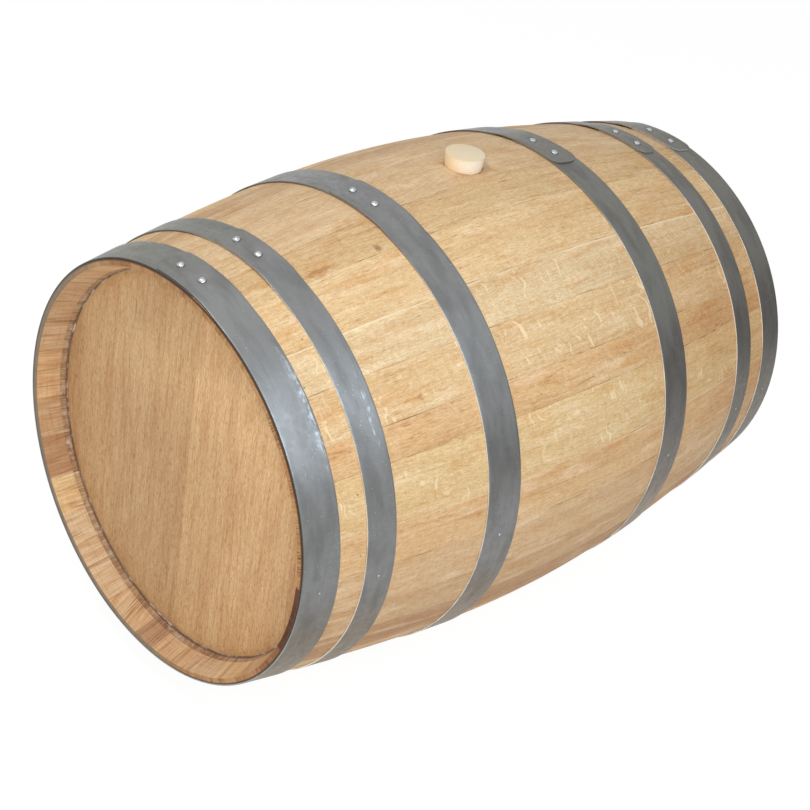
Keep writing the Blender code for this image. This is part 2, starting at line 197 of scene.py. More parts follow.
# Round the barrel from the bung stave towards -Y: colour, ray flecks, brown streaks, tilt of the rings
STAVE_FINISHES = (
    ("sand", 0.15, 0.35, 12), ("russet", 0.10, 0.80, 18), ("honey", 0.15, 0.65, 9),
    ("cream", 1.00, 0.25, -4), ("honey", 1.00, 0.60, 5), ("amber", 0.35, 0.75, 14),
    ("yellow", 0.95, 0.45, 7), ("amber", 0.15, 0.35, 20), ("tan", 0.10, 0.40, -12),
    # The rose staves here and below are darker partly as painted shade
    ("ash", 0.20, 0.25, 10), ("rose_and_shade", 0.20, 0.45, 6), ("tan", 0.60, 0.40, -7),
    ("honey", 0.30, 0.60, 15), ("sand", 0.80, 0.25, 3), ("tan", 0.20, 0.50, 11),
    ("umber", 0.10, 0.60, 16), ("tan", 0.40, 0.40, 38), ("sand", 0.70, 0.30, 4),
    ("sand", 0.50, 0.70, 8), ("yellow", 0.90, 0.25, 2), ("rose_and_shade", 0.25, 0.60, 13),
    ("ash", 0.20, 0.45, 9), ("amber", 0.60, 0.55, 6), ("tan", 0.30, 0.35, 17),
    ("ash", 0.15, 0.50, 10), ("ash", 0.45, 0.35, -5), ("tan", 0.20, 0.60, 12),
    ("honey", 0.85, 0.30, 4), ("ash", 0.10, 0.70, 15), ("sand", 0.15, 0.45, 8),
)
PALE_SEAMS = {"stave_04": 0.9, "stave_08": 0.5, "stave_14": 0.8, "stave_21": 0.6, "stave_27": 0.7}
DARK_ENDED = ("stave_09", "stave_10")       # the ends of these two are stained dark brown

# Marks in the oak: along the barrel, angle from the top in degrees, half length and half width
ORANGE_STAIN = (-0.310, 15.6, 0.030, 0.008)
GREY_KNOT = (-0.216, 15.5, 0.007, 0.009)
BROWN_KNOT = (-0.268, 51.5, 0.006, 0.006)
# Painted shade: a wide soft patch darkens and warms the back half of the wall on its upper -Y side
BACK_END_SHADE = (0.400, 58.0, 0.340, 0.270)
BRAD_HOLES = ((-0.3805, 67.8), (-0.3805, 83.5), (-0.3800, 29.5), (-0.4070, 40.2))
BRAD_HOLE_SIZE = 0.0016
ZINC_BLOOMS = ((-0.4145, 45.0, 0.0060, 0.115), (-0.3425, 50.0, 0.0040, 0.050))

# Materials of a stave, in the order of its slots
PLANED, CHIME, HOWEL, SAWN_END, CROZE, CHARRED = range(6)

X_AXIS, Y_AXIS, Z_AXIS = range(3)
MIX_A, MIX_B, MIX_RESULT = 6, 7, 2          # sockets of a colour Mix node
MARK_ROUGHNESS = 0.55
WOOD_RELIEF = 0.5           # strength of the relief of all bare wood
WOOD_GLOSS = 0.35


# Shared steps for materials

def connect(tree, node, inputs):
    """Give each of these inputs of a node a value or a link."""
    for socket, value in inputs.items():
        if isinstance(value, bpy.types.NodeSocket):
            tree.links.new(value, node.inputs[socket])
        else:
            node.inputs[socket].default_value = value


def add_node(tree, kind, inputs, **settings):
    """Add a node, set its own settings and fill these inputs."""
    node = tree.nodes.new(kind)
    for name, value in settings.items():
        setattr(node, name, value)
    connect(tree, node, inputs)
    return node


def new_material(name):
    """An empty material and its node tree."""
    material = bpy.data.materials.new(name)
    material.use_nodes = True
    return material, material.node_tree


def finished(material, inputs):
    """The material, once its shader has these values and links."""
    connect(material.node_tree, material.node_tree.nodes["Principled BSDF"], inputs)
    return material


def read_attribute(tree, name, output="Vector"):
    return add_node(tree, 'ShaderNodeAttribute', {}, attribute_name=name).outputs[output]


def object_place(tree):
    return add_node(tree, 'ShaderNodeTexCoord', {}).outputs['Object']


def split(tree, vector):
    return add_node(tree, 'ShaderNodeSeparateXYZ', {0: vector}).outputs


def maths(tree, operation, *values):
    return add_node(tree, 'ShaderNodeMath', dict(enumerate(values)), operation=operation).outputs[0]


def vector_maths(tree, operation, *values, output='Vector'):
    node = add_node(tree, 'ShaderNodeVectorMath', dict(enumerate(values)), operation=operation)
    return node.outputs[output]


def chained(tree, operation, value, *others):
    """The same operation with one number after another."""
    for other in others:
        value = maths(tree, operation, value, other)
    return value


def product(tree, *factors):
    return chained(tree, 'MULTIPLY', *factors)


def fade(tree, value, start, full, low=0.0, high=1.0):
    """Smooth step from low to high as a value goes from start to full."""
    return add_node(tree, 'ShaderNodeMapRange', {0: value, 1: start, 2: full, 3: low, 4: high},
                    interpolation_type='SMOOTHSTEP').outputs[0]


def scaled(tree, place, size):
    """Place measured in marks of this size instead of in metres."""
    return vector_maths(tree, 'MULTIPLY', place, [1 / length for length in size])


def clouds(tree, place, size, detail, roughness=0.5):
    """Noise whose lumps have about this size, in metres: one number first, and then three."""
    return add_node(tree, 'ShaderNodeTexNoise', {'Vector': scaled(tree, place, size), 'Scale': 1.0,
                                                 'Detail': detail, 'Roughness': roughness}).outputs


def marks(tree, place, size, start, full, strength, detail=2.0):
    """Mask of marks of about this size, in metres. They show where a noise passes start."""
    return fade(tree, clouds(tree, place, size, detail, MARK_ROUGHNESS)[0], start, full, high=strength)


def wandering(tree, grain, size, reach):
    """Grain that swings by up to half of this reach, as fibres do beside branches."""
    swing = vector_maths(tree, 'SUBTRACT', clouds(tree, grain, size, 1.0)[1], (0.5, 0.5, 0.5))
    return vector_maths(tree, 'ADD', grain, vector_maths(tree, 'MULTIPLY', swing, reach))


def layered(tree, base, layers):
    """Lay layers over a base colour: (mask, colour) ones tint it, and (mask, colour, 'MIX') ones cover it."""
    for mask, tint, *blend in layers:
        mixed = add_node(tree, 'ShaderNodeMix', {0: mask, MIX_A: base, MIX_B: (*linear(tint), 1.0)},
                         data_type='RGBA', blend_type=blend[0] if blend else 'MULTIPLY')
        base = mixed.outputs[MIX_RESULT]
    return base


def relief(tree, height, strength, depth, invert=False):
    return add_node(tree, 'ShaderNodeBump', {'Strength': strength, 'Distance': depth, 'Height': height},
                    invert=invert).outputs[0]


def unrolled(tree):
    """Place on the barrel's wall as (along the barrel, round it from the top, 0), in metres."""
    along, sideways, up = split(tree, object_place(tree))
    height = maths(tree, 'SUBTRACT', up, AXIS_HEIGHT)
    angle = maths(tree, 'ARCTAN2', maths(tree, 'MULTIPLY', sideways, -1.0), height)
    arc = maths(tree, 'MULTIPLY', angle, BILGE_RADIUS)
    return add_node(tree, 'ShaderNodeCombineXYZ', {0: along, 1: arc}).outputs[0]


def along_axis(tree, axis, start, full):
    """Mask from 0 to 1 as a place on one axis goes from start to full. X counts from the middle."""
    place = split(tree, object_place(tree))[axis]
    if axis == X_AXIS:
        place = maths(tree, 'ABSOLUTE', place)
    return fade(tree, place, start, full)


def patch(tree, wall, mark, ragged, strength):
    """Mask of one ragged oval on the barrel's wall. Its mark is x, angle, half length, half width."""
    x, angle, length, width = mark
    offset = vector_maths(tree, 'SUBTRACT', wall, (x, math.radians(angle) * BILGE_RADIUS, 0))
    reach = vector_maths(tree, 'LENGTH', scaled(tree, offset, (length, width, 1)), output='Value')
    rough_edge = marks(tree, wall, (length / 2, width / 2, 1), 0.3, 0.7, ragged, detail=3.0)
    frayed = maths(tree, 'ADD', reach, rough_edge)
    return fade(tree, frayed, 0.35 + ragged / 2, 1.0 + ragged / 2, strength, 0.0)


# Oak. Its grain is stored as (along the board, outwards from the tree's heart, round it), in metres.

def ray_flecks(tree, grain):
    """Pale sheets of ray tissue: soft blocks where one lies flat, and long arcs that cross the grain."""
    leaning = add_node(tree, 'ShaderNodeMapping', {0: grain, 2: (0, 0, math.radians(14))}).outputs[0]
    bent = wandering(tree, leaning, (0.036, 0.028, 0.024), (0.032, 0, 0))
    arcs = marks(tree, bent, (0.0064, 0.046, 0.024), 0.61, 0.72, 0.85, detail=1.0)
    blocks = marks(tree, bent, (0.017, 0.013, 0.015), 0.62, 0.70, 0.85, detail=5.0)
    fine = marks(tree, leaning, (0.0020, 0.016, 0.0020), 0.58, 0.70, 0.35)
    groups = marks(tree, grain, (0.080, 0.045, 0.030), 0.42, 0.54, 1.0)
    return product(tree, chained(tree, 'MAXIMUM', blocks, arcs, fine), groups)


def oak_figure(tree, grain, figure):
    """Layers that white oak shows, and the height that its open grain gives.

    The pores are 0.3 mm wide in the real wood, and are drawn about 0.6 mm wide so that they show.
    """
    ray_strength, streak_strength, _ = split(tree, figure)
    swung = wandering(tree, grain, (0.09, 0.040, 0.040), (0, 0.010, 0.005))
    rings = marks(tree, swung, (0.30, 0.0034, 0.060), 0.42, 0.70, 0.26)
    fibres = marks(tree, swung, (0.011, 0.0010, 0.0012), 0.36, 0.68, 0.60, detail=3.0)
    felt = marks(tree, swung, (0.0030, 0.0015, 0.0020), 0.40, 0.66, 0.40, detail=3.0)
    curl = marks(tree, swung, (0.0060, 0.0130, 0.012), 0.42, 0.68, 0.22)
    pores = marks(tree, swung, (0.0065, 0.0006, 0.0007), 0.58, 0.70, 0.70)
    open_grain = product(tree, pores, marks(tree, swung, (0.16, 0.0050, 0.050), 0.44, 0.62, 1.0))
    brown_zone = marks(tree, grain, (0.060, 0.010, 0.014), 0.50, 0.64, 1.0)
    smears = marks(tree, swung, (0.090, 0.0042, 0.012), 0.52, 0.74, 0.50, detail=5.0)
    lines = marks(tree, swung, (0.016, 0.0009, 0.0024), 0.55, 0.68, 0.95)
    layers = [
        (marks(tree, grain, (0.42, 0.030, 0.030), 0.40, 0.68, 0.34), "#e6d3ba"),
        (marks(tree, grain, (0.075, 0.024, 0.018), 0.50, 0.72, 0.40), "#f0cc9c"),
        (marks(tree, grain, (0.10, 0.018, 0.018), 0.52, 0.70, 0.34), "#fbe9cc", 'MIX'),
        (curl, "#e9d4b4"),
        (product(tree, smears, streak_strength), "#d0a878"),
        (rings, "#e6d0ae"),
        (felt, "#e4cfae"),
        (fibres, "#e0cba9"),
        (product(tree, lines, brown_zone, streak_strength), "#b28758"),
        (open_grain, "#b08c62"),
        (product(tree, ray_flecks(tree, grain), ray_strength, 0.66), "#f8e3bd", 'MIX'),
    ]
    return layers, maths(tree, 'ADD', open_grain, fibres)


def raw_wood(material, base, layers, height, roughness, depth):
    """Dull raw wood: no coat, and a relief that sinks where the grain is open."""
    tree = material.node_tree
    return finished(material, {'Base Color': layered(tree, base, layers), 'Roughness': roughness,
                               'Normal': relief(tree, height, WOOD_RELIEF, depth, invert=True),
                               'Specular IOR Level': WOOD_GLOSS})


def seam_layers(tree):
    """Thin dirt in the seams between staves, with a paler planed line beside it here and there."""
    before, after, _ = split(tree, read_attribute(tree, "seams"))
    dirt = fade(tree, maths(tree, 'MINIMUM', before, after), 0.0002, 0.0010, 0.75, 0.0)
    pale = fade(tree, before, 0.0010, 0.0036, 0.60, 0.0)
    strength = split(tree, read_attribute(tree, "figure"))[2]
    grain = read_attribute(tree, "grain")
    broken = marks(tree, grain, (0.060, 0.30, 0.30), 0.49, 0.66, 1.0)
    patchy = marks(tree, grain, (0.20, 0.40, 0.40), 0.36, 0.50, 1.0)
    return [(product(tree, pale, patchy, strength), "#f8e4c0", 'MIX'),
            (product(tree, dirt, broken), "#8f6a40")]


def planed_oak():
    """White oak, planed and sanded: fine brown lines along the board, crossed by pale ray flecks."""
    material, tree = new_material("planed_white_oak")
    layers, height = oak_figure(tree, read_attribute(tree, "grain"), read_attribute(tree, "figure"))
    wall = unrolled(tree)
    layers += [
        (patch(tree, wall, ORANGE_STAIN, 0.9, 0.45), "#d6a878"),
        (patch(tree, wall, GREY_KNOT, 0.5, 0.60), "#9a7a5c"),
        (patch(tree, wall, BROWN_KNOT, 0.5, 0.45), "#c08a50"),
        # painted shade over the back half of the wall
        (patch(tree, wall, BACK_END_SHADE, 0.3, 1.0), "#f1e6dc"),
    ]
    for x, angle in BRAD_HOLES:
        hole = (x, angle, BRAD_HOLE_SIZE, BRAD_HOLE_SIZE)
        layers.append((patch(tree, wall, hole, 0.2, 0.85), "#3c2c1c", 'MIX'))
    worn_corner = along_axis(tree, X_AXIS, HALF_LENGTH - 0.0018, HALF_LENGTH - 0.0010)
    layers += seam_layers(tree) + [(worn_corner, "#5c4a3a")]
    return raw_wood(material, read_attribute(tree, "tint", "Color"), layers, height, 0.56, 0.00025)


def cut_rings(tree, grain):
    """Layers of yearly rings cut across: fine lines 1.1 mm apart, crowded and darker here and there."""
    broad = marks(tree, grain, (0.30, 0.0100, 0.030), 0.38, 0.62, 0.48)
    lines = marks(tree, grain, (0.20, 0.0011, 0.020), 0.40, 0.62, 0.50)
    crowded = product(tree, marks(tree, grain, (0.20, 0.0013, 0.030), 0.46, 0.60, 0.55),
                      marks(tree, grain, (0.20, 0.014, 0.050), 0.50, 0.62, 1.0))
    return [(broad, "#ecd2b8"), (lines, "#d6b494"), (crowded, "#b08c6c")]


def cut_oak(name):
    """A material for oak that is cut across: itself, its tree, its grain and its own colour."""
    material, tree = new_material(name)
    return material, tree, read_attribute(tree, "grain"), read_attribute(tree, "end_tint", "Color")


def chime_oak():
    """The same oak cut on a slant at the stave's end, and scraped."""
    material, tree, grain, tint = cut_oak("cut_oak_chime")
    scrape = marks(tree, grain, (0.0022, 0.040, 0.040), 0.50, 0.75, 0.30)
    speckle = marks(tree, grain, (0.0020, 0.0015, 0.0020), 0.42, 0.68, 0.30, detail=3.0)
    layers = cut_rings(tree, grain) + [(scrape, "#d3b28c"), (speckle, "#d8bc98")] + seam_layers(tree)
    return raw_wood(material, tint, layers, scrape, 0.70, 0.0004)


def howel_oak():
    """Band next to the head, cut by the howel plane: rougher and greyer, with painted shade down at the croze
    and low on the barrel.
    """
    material, tree, grain, tint = cut_oak("howelled_oak")
    mouth = -inside_outline()[1][0]
    chatter = marks(tree, grain, (0.0040, 0.020, 0.020), 0.52, 0.70, 0.35)
    worn = marks(tree, grain, (0.020, 0.006, 0.020), 0.42, 0.58, 0.62, detail=4.0)
    pale = marks(tree, grain, (0.010, 0.012, 0.020), 0.56, 0.68, 0.60, detail=4.0)
    # Painted shade: darker towards the croze, where the head shades the howel, and darker low down
    croze_shade = product(tree, along_axis(tree, X_AXIS, mouth + 0.0036, mouth + 0.0006), 0.80)
    low_shade = product(tree, along_axis(tree, Z_AXIS, 0.26, 0.05), 0.40)
    layers = [(0.42, "#a8927e", 'MIX')] + cut_rings(tree, grain)
    layers += [(chatter, "#cfb09a"), (worn, "#c6b6a8"), (pale, "#cfc2b4", 'MIX'), (croze_shade, "#8a725e"),
               (low_shade, "#cbb29c")]
    return raw_wood(material, tint, layers, chatter, 0.78, 0.0005)


def sawn_end_oak():
    """End grain, sawn square: its rim is black, partly dirt off the hoop and partly painted shade next to the
    hoop, and one side is brown with grime.
    """
    material, tree, grain, tint = cut_oak("sawn_oak_end_grain")
    hatch = marks(tree, grain, (1.0, 0.0012, 0.030), 0.46, 0.62, 0.65)
    dirty = marks(tree, grain, (1.0, 0.070, 0.070), 0.48, 0.56, 1.0)
    depth = split(tree, read_attribute(tree, "seams"))[2]
    # Partly painted shade: the outer rim of the end, next to the hoop, is darkened along with its dirt
    rim = fade(tree, depth, 0.0012, 0.0024, 0.92, 0.0)
    grime = product(tree, along_axis(tree, Y_AXIS, -0.10, 0.00), along_axis(tree, Z_AXIS, 0.60, 0.48), 0.74)
    layers = [(1.0, "#e2cab2")] + cut_rings(tree, grain)
    layers += [(product(tree, hatch, dirty), "#7c5c44"), (rim, "#54453a", 'MIX'), (grime, "#857f72", 'MIX')]
    return raw_wood(material, tint, layers, hatch, 0.82, 0.0005)


def croze_oak():
    """Floor and walls of the groove that holds the head, dark with dust."""
    material, tree, grain, tint = cut_oak("grooved_oak")
    dust = marks(tree, grain, (0.006, 0.006, 0.006), 0.40, 0.65, 0.6)
    layers = [(1.0, "#8a6c58"), (dust, "#5e4838")]
    return raw_wood(material, tint, layers, dust, 0.85, 0.0004)


def charred_oak():
    """Inside of a whiskey barrel, burnt to a soft black crust that cracks into small scales."""
    material, tree = new_material("charred_oak")
    place = read_attribute(tree, "grain")
    scales = add_node(tree, 'ShaderNodeTexVoronoi', {'Vector': place, 'Scale': 1 / 0.009, 'Randomness': 0.9},
                      feature='DISTANCE_TO_EDGE')
    crust = fade(tree, scales.outputs[0], 0.0, 0.25)
    ash = marks(tree, place, (0.02, 0.012, 0.012), 0.5, 0.75, 0.5)
    colour = layered(tree, (*linear("#1c1612"), 1.0), [(crust, "#2b221b", 'MIX'), (ash, "#4a3f36", 'MIX')])
    return finished(material, {'Base Color': colour, 'Normal': relief(tree, crust, 0.9, 0.0015),
                               'Roughness': 0.9})


def head_oak():
    """Head boards: oak, machine sanded, even in tone, with fine short pores that run up the board."""
    material, tree = new_material("sanded_oak_head")
    swung = wandering(tree, read_attribute(tree, "grain"), (0.14, 0.060, 0.060), (0, 0.008, 0.004))
    pores = marks(tree, swung, (0.0075, 0.0008, 0.0008), 0.50, 0.68, 0.60)
    layers = [
        (marks(tree, swung, (0.16, 0.024, 0.024), 0.42, 0.64, 0.30), "#dcc4ac"),
        (marks(tree, swung, (0.12, 0.0050, 0.0050), 0.44, 0.70, 0.28), "#dcba96"),
        (marks(tree, swung, (0.030, 0.0016, 0.0016), 0.40, 0.68, 0.45), "#d8ba96"),
        (marks(tree, swung, (0.0040, 0.0018, 0.0018), 0.40, 0.66, 0.30, detail=3.0), "#dcc29e"),
        (pores, "#bc9870"),
        # Painted light: the boards are darker below and lighter at the top of the head
        (along_axis(tree, Z_AXIS, 0.47, 0.34), "#efece9"),
    ]
    return raw_wood(material, read_attribute(tree, "tint", "Color"), layers, pores, 0.62, 0.00025)


# Steel, bung and wax

def galvanised_steel():
    """Hot-dip galvanised strip: grey zinc with faint crystals, rolling lines and a dull sheen."""
    material, tree = new_material("galvanised_steel_strip")
    strip = read_attribute(tree, "strip")
    wall = unrolled(tree)
    crystals = add_node(tree, 'ShaderNodeTexVoronoi', {'Vector': strip, 'Scale': 1 / 0.007}, feature='F1')
    crystal = add_node(tree, 'ShaderNodeSeparateColor', {0: crystals.outputs['Color']}).outputs[0]
    layers = [
        (product(tree, crystal, 0.14), "#b4b6b6"),
        (marks(tree, strip, (0.070, 0.022, 0.022), 0.40, 0.70, 0.40), "#b5b4b0"),
        (marks(tree, strip, (0.15, 0.0010, 0.0010), 0.45, 0.75, 0.18), "#a9abab"),
        (marks(tree, strip, (0.0022, 0.0018, 0.0018), 0.735, 0.79, 0.75, detail=1.0), "#e4e8ea", 'MIX'),
        (marks(tree, strip, (0.0040, 0.0012, 0.0012), 0.76, 0.81, 0.55, detail=1.0), "#3c3e40", 'MIX'),
    ]
    for bloom in ZINC_BLOOMS:
        cloud = product(tree, patch(tree, wall, bloom, 0.9, 1.0),
                        marks(tree, strip, (0.0070, 0.0040, 0.0040), 0.40, 0.70, 0.50, detail=4.0))
        layers.append((cloud, "#d2dce2", 'MIX'))
    dents = marks(tree, strip, (0.030, 0.020, 0.020), 0.3, 0.7, 1.0)
    sheen = add_node(tree, 'ShaderNodeMapRange', {0: crystal, 3: 0.36, 4: 0.46}).outputs[0]
    return finished(material, {
        'Base Color': layered(tree, (*bpy.context.scene.barrel_tones.steel, 1.0), layers),
        'Normal': relief(tree, dents, 0.25, 0.0004), 'Roughness': sheen, 'Metallic': 1.0})


def sheared_steel():
    """Cut edge of the strip, with shear lines: pale, partly as a painted highlight, and greyer at the
    barrel's ends; painted shade darkens it on top, on the +Y side and high at the ends.
    """
    material, tree = new_material("sheared_steel_edge")
    strip = read_attribute(tree, "strip")
    # Painted shade: the edges are darkened brown on top, dark on the +Y side, and darkest high up at the
    # barrel's ends
    shaded_top = product(tree, along_axis(tree, Z_AXIS, 0.585, 0.635), 0.85)
    far_side_shade = product(tree, along_axis(tree, Y_AXIS, 0.02, 0.10), 0.90)
    at_ends = along_axis(tree, X_AXIS, HALF_LENGTH - 0.0030, HALF_LENGTH - 0.0015)
    shaded_end_top = product(tree, at_ends, along_axis(tree, Z_AXIS, 0.22, 0.40), 0.90)
    layers = [
        (marks(tree, strip, (0.0012, 0.01, 0.01), 0.45, 0.65, 0.3), "#a8aaab"),
        (marks(tree, strip, (0.03, 0.05, 0.05), 0.45, 0.65, 0.4), "#b4b0aa"),
        (far_side_shade, "#4a423a", 'MIX'),
        (product(tree, at_ends, 0.75), "#8e9698", 'MIX'),
        (shaded_top, "#6a5e52", 'MIX'),
        (shaded_end_top, "#453c33", 'MIX'),
    ]
    colour = layered(tree, (*bpy.context.scene.barrel_tones.cut_steel_and_highlight, 1.0), layers)
    return finished(material, {'Base Color': colour, 'Metallic': 0.30, 'Roughness': 0.50})


def zinc_plated_steel():
    """Rivets and nails: thin zinc plate, bright where the hammer struck, with painted shade round the rim of
    each head.
    """
    material, tree = new_material("zinc_plated_steel")
    place = object_place(tree)
    tarnish = marks(tree, place, (0.004, 0.004, 0.004), 0.45, 0.70, 0.35)
    # Painted shade: the lower part of each dome is darkened towards its rim
    rim = fade(tree, split(tree, read_attribute(tree, "rise"))[0], 0.02, 0.45, 0.80, 0.0)
    colour = layered(tree, (*bpy.context.scene.barrel_tones.rivet, 1.0),
                     [(tarnish, "#b4b6b7"), (rim, "#5a5d60")])
    hammered = marks(tree, place, (0.0030, 0.0030, 0.0030), 0.3, 0.7, 1.0)
    return finished(material, {'Base Color': colour, 'Normal': relief(tree, hammered, 0.12, 0.0002),
                               'Metallic': 1.0, 'Roughness': 0.28})


def turned_poplar():
    """Bung: pale poplar, fresh on its turned side; its sawn top is greyer with a green cast, partly weathered
    and partly painted shade.
    """
    material, tree = new_material("turned_poplar")
    place = object_place(tree)
    lean = (0, math.radians(8), math.radians(35))
    lying = add_node(tree, 'ShaderNodeMapping', {0: place, 2: lean}).outputs[0]
    rings = marks(tree, lying, (0.080, 0.0016, 0.0016), 0.42, 0.66, 0.30)
    centre, top, _, _ = bung_outline(0.0)
    # Partly painted shade: the top is darkened as well as greyed by weathering
    weathered_and_shaded = fade(tree, split(tree, place)[2], top - 0.0007, top - 0.0002, 0.0, 0.80)
    across = vector_maths(tree, 'DOT_PRODUCT', place, HEART_SIDE, output='Value')
    middle = centre.dot(Vector(HEART_SIDE))
    heart = fade(tree, across, middle - 0.006, middle + 0.024, 0.0, 0.66)
    layers = [
        (heart, "#f8d8a2", 'MIX'),
        (marks(tree, lying, (0.040, 0.008, 0.008), 0.42, 0.60, 0.25), "#f6dfbc"),
        (rings, "#f4e4cc"),
        (marks(tree, lying, (0.006, 0.0007, 0.0007), 0.55, 0.70, 0.35), "#e4d0b0"),
        (weathered_and_shaded, "#dac7a6", 'MIX'),
    ]
    return raw_wood(material, (*bpy.context.scene.barrel_tones.poplar, 1.0), layers, rings, 0.50, 0.0002)


def croze_wax_and_shade():
    """Line of wax and dust that seals the head: brown-grey, with pale bits where it is fresh. Its dark brown
    is partly painted shade in the joint.
    """
    material, tree = new_material("cooper_wax_and_shade")
    place = object_place(tree)
    dust = marks(tree, place, (0.05, 0.05, 0.05), 0.4, 0.6, 0.6)
    fresh = marks(tree, place, (0.020, 0.020, 0.020), 0.52, 0.62, 0.85, detail=4.0)
    # The dark brown base is partly painted shade in the joint between head and staves
    colour = layered(tree, (*linear("#6b5342"), 1.0), [(dust, "#98806c", 'MIX'), (fresh, "#d2c8c0", 'MIX')])
    return finished(material, {'Base Color': colour, 'Roughness': 0.45})


# Shared steps for shapes

def wood_radius(x):
    """Outside of the wood: nearly straight at the ends, bent at the bilge."""
    bend = bpy.context.scene.barrel_wood.bend_width
    rise = math.hypot(x, bend) - bend
    end_rise = math.hypot(HALF_LENGTH, bend) - bend
    return BILGE_RADIUS - (BILGE_RADIUS - END_RADIUS) * rise / end_rise


def to_piece(shape, name, materials, crease):
    """Close a bmesh off as a smooth shaded object with its faces pointing out."""
    bmesh.ops.recalc_face_normals(shape, faces=shape.faces)
    mesh = bpy.data.meshes.new(name)
    shape.to_mesh(mesh)
    shape.free()
    for material in materials:
        mesh.materials.append(material)
    mesh.shade_smooth()
    mesh.set_sharp_from_angle(angle=math.radians(crease))
    piece = bpy.data.objects.new(name, mesh)
    bpy.context.scene.collection.objects.link(piece)
    return piece


def set_points(mesh, name, kind, value_of):
    """Give every point of a mesh an attribute worked out from its place."""
    attribute = mesh.attributes.new(name, kind, 'POINT')
    slot = 'color' if kind == 'FLOAT_COLOR' else 'vector'
    values = []
    for vert in mesh.vertices:
        values.extend(value_of(vert.co))
    attribute.data.foreach_set(slot, values)


def turned(profile, sides):
    """Turn a profile of (radius, height) points about Z."""
    shape = bmesh.new()
    points = [shape.verts.new((radius, 0, height)) for radius, height in profile]
    edges = [shape.edges.new(pair) for pair in zip(points, points[1:])]
    bmesh.ops.spin(shape, geom=points + edges, cent=(0, 0, 0), axis=(0, 0, 1), angle=2 * math.pi,
                   steps=sides, use_merge=True)
    bmesh.ops.remove_doubles(shape, verts=shape.verts, dist=MERGED)
    return shape


def chance(number, stride, row):
    """Value between about -1 and 1 that differs from one numbered thing to the next."""
    return noise.noise(Vector((number * stride, row, 0)))


def ease(shape, edges, offset, segments=2):
    """Round these edges."""
    bmesh.ops.bevel(shape, geom=edges, affect='EDGES', offset=offset, segments=segments, profile=0.5,
                    material=-1)


def rims_of(shape):
    """The edges where a shape turns a sharp corner."""
    return [edge for edge in shape.edges if edge.calc_face_angle(0) > SHARP]


def dress(piece, nodes, body="barrel"):
    """Let a finished piece stand for its nodes, on their body."""
    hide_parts(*nodes)
    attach(piece, body)


# Staves

STAVE_NAMES = ["bung_stave"] + nodes_called("stave_")
STATION_STEP = 0.0185       # between places where a stave's outside bends
STAVE_FACET = math.radians(1.8)
STAVE_CREASE = 28
BOARD_SLOPE = 0.012         # the boards don't run quite level with the tree's heart
STAVE_UNEVENNESS = 0.00010
HEART_DISTANCE = 0.11       # from a board to the heart of its tree, which bends the rings
BOARD_SHIFT = (1.3, 0.7)    # from one board's place in its tree to the next: along it and outwards
RUN_OUT = 0.03              # how far the grain may slant across a board, for each metre along it
OUTSIDE_DEPTH = 0.003       # the outside of a stave isn't deeper than this anywhere
INSIDE_DEPTH = 0.004        # and its inside is deeper than this
MOST_CORNERS = 8            # only the long sides of a stave have more corners


def stave_span(node):
    """Start and end angle of a stave, from its node."""
    angles = [polar(point)[0] for point in corners(node)]
    middle = math.atan2(sum(map(math.sin, angles)), sum(map(math.cos, angles)))
    leans = [turn_between(angle, middle) for angle in angles]
    return middle + min(leans), middle + max(leans)


def inside_outline():
    """(x, radius) along the inside of the staves from -X to +X, chimes and crozes included."""
    start, _ = stave_span("stave_02")
    outline = set()
    for point in corners("stave_02"):
        angle, radius = polar(point)
        shallow = wood_radius(point.x) - radius < INSIDE_DEPTH
        if abs(turn_between(angle, start)) < SAME and not shallow:
            outline.add((round(point.x, 5), round(radius, 5)))
    return sorted(outline)


def stave_outline():
    """Long section of a stave: the outside from +X to -X, then back along the inside."""
    wood = bpy.context.scene.barrel_wood
    steps = round(2 * HALF_LENGTH / STATION_STEP)
    stations = [HALF_LENGTH - 2 * HALF_LENGTH * step / steps for step in range(steps + 1)]
    inside = inside_outline()
    chime, mouth = inside[0], inside[1]
    share = wood.howel_share
    brink = (mouth[0] + (chime[0] - mouth[0]) * share, mouth[1] + (chime[1] - mouth[1]) * share)
    bed = (brink[0], brink[1] + wood.howel_depth)
    inside[1:1] = [brink, bed]
    inside[-1:-1] = [(-bed[0], bed[1]), (-brink[0], brink[1])]
    return [(x, wood_radius(x)) for x in stations] + inside


def stave_surface(face, mouth, brink, groove):
    """Which material a face of a stave has, by where it lies in the long section."""
    if len(face.verts) > MOST_CORNERS:
        return PLANED
    middle = face.calc_center_median()
    depth = wood_radius(middle.x) - polar(middle)[1]
    along = abs(middle.x)
    if along > HALF_LENGTH - SAME:
        return SAWN_END
    if depth < OUTSIDE_DEPTH:
        return PLANED
    for limit, surface in ((brink, CHIME), (mouth, HOWEL), (groove, CROZE)):
        if along > limit:
            return surface
    return CHARRED


def stave_shape(start, end, sunk):
    """Turn the long section through the stave's own arc and ease its long outer edges."""
    shape = bmesh.new()
    outline = stave_outline()
    inside = sorted((abs(x), radius) for x, radius in outline if wood_radius(x) - radius > INSIDE_DEPTH)
    face = shape.faces.new([shape.verts.new(on_barrel(x, start, radius - sunk)) for x, radius in outline])
    steps = math.ceil((end - start) / STAVE_FACET)
    bmesh.ops.spin(shape, geom=[face, *face.edges, *face.verts], cent=AXIS_POINT, axis=(1, 0, 0),
                   angle=end - start, steps=steps)
    from_end = sorted({round(x, 5) for x, _ in inside}, reverse=True)
    _, brink, mouth, _, _, groove = from_end[:6]
    for face in shape.faces:
        face.material_index = stave_surface(face, mouth, brink, groove)
    seams = [edge for edge in shape.edges if on_long_edge(edge, start, end)]
    ease(shape, seams, bpy.context.scene.barrel_wood.seam_ease)
    return shape


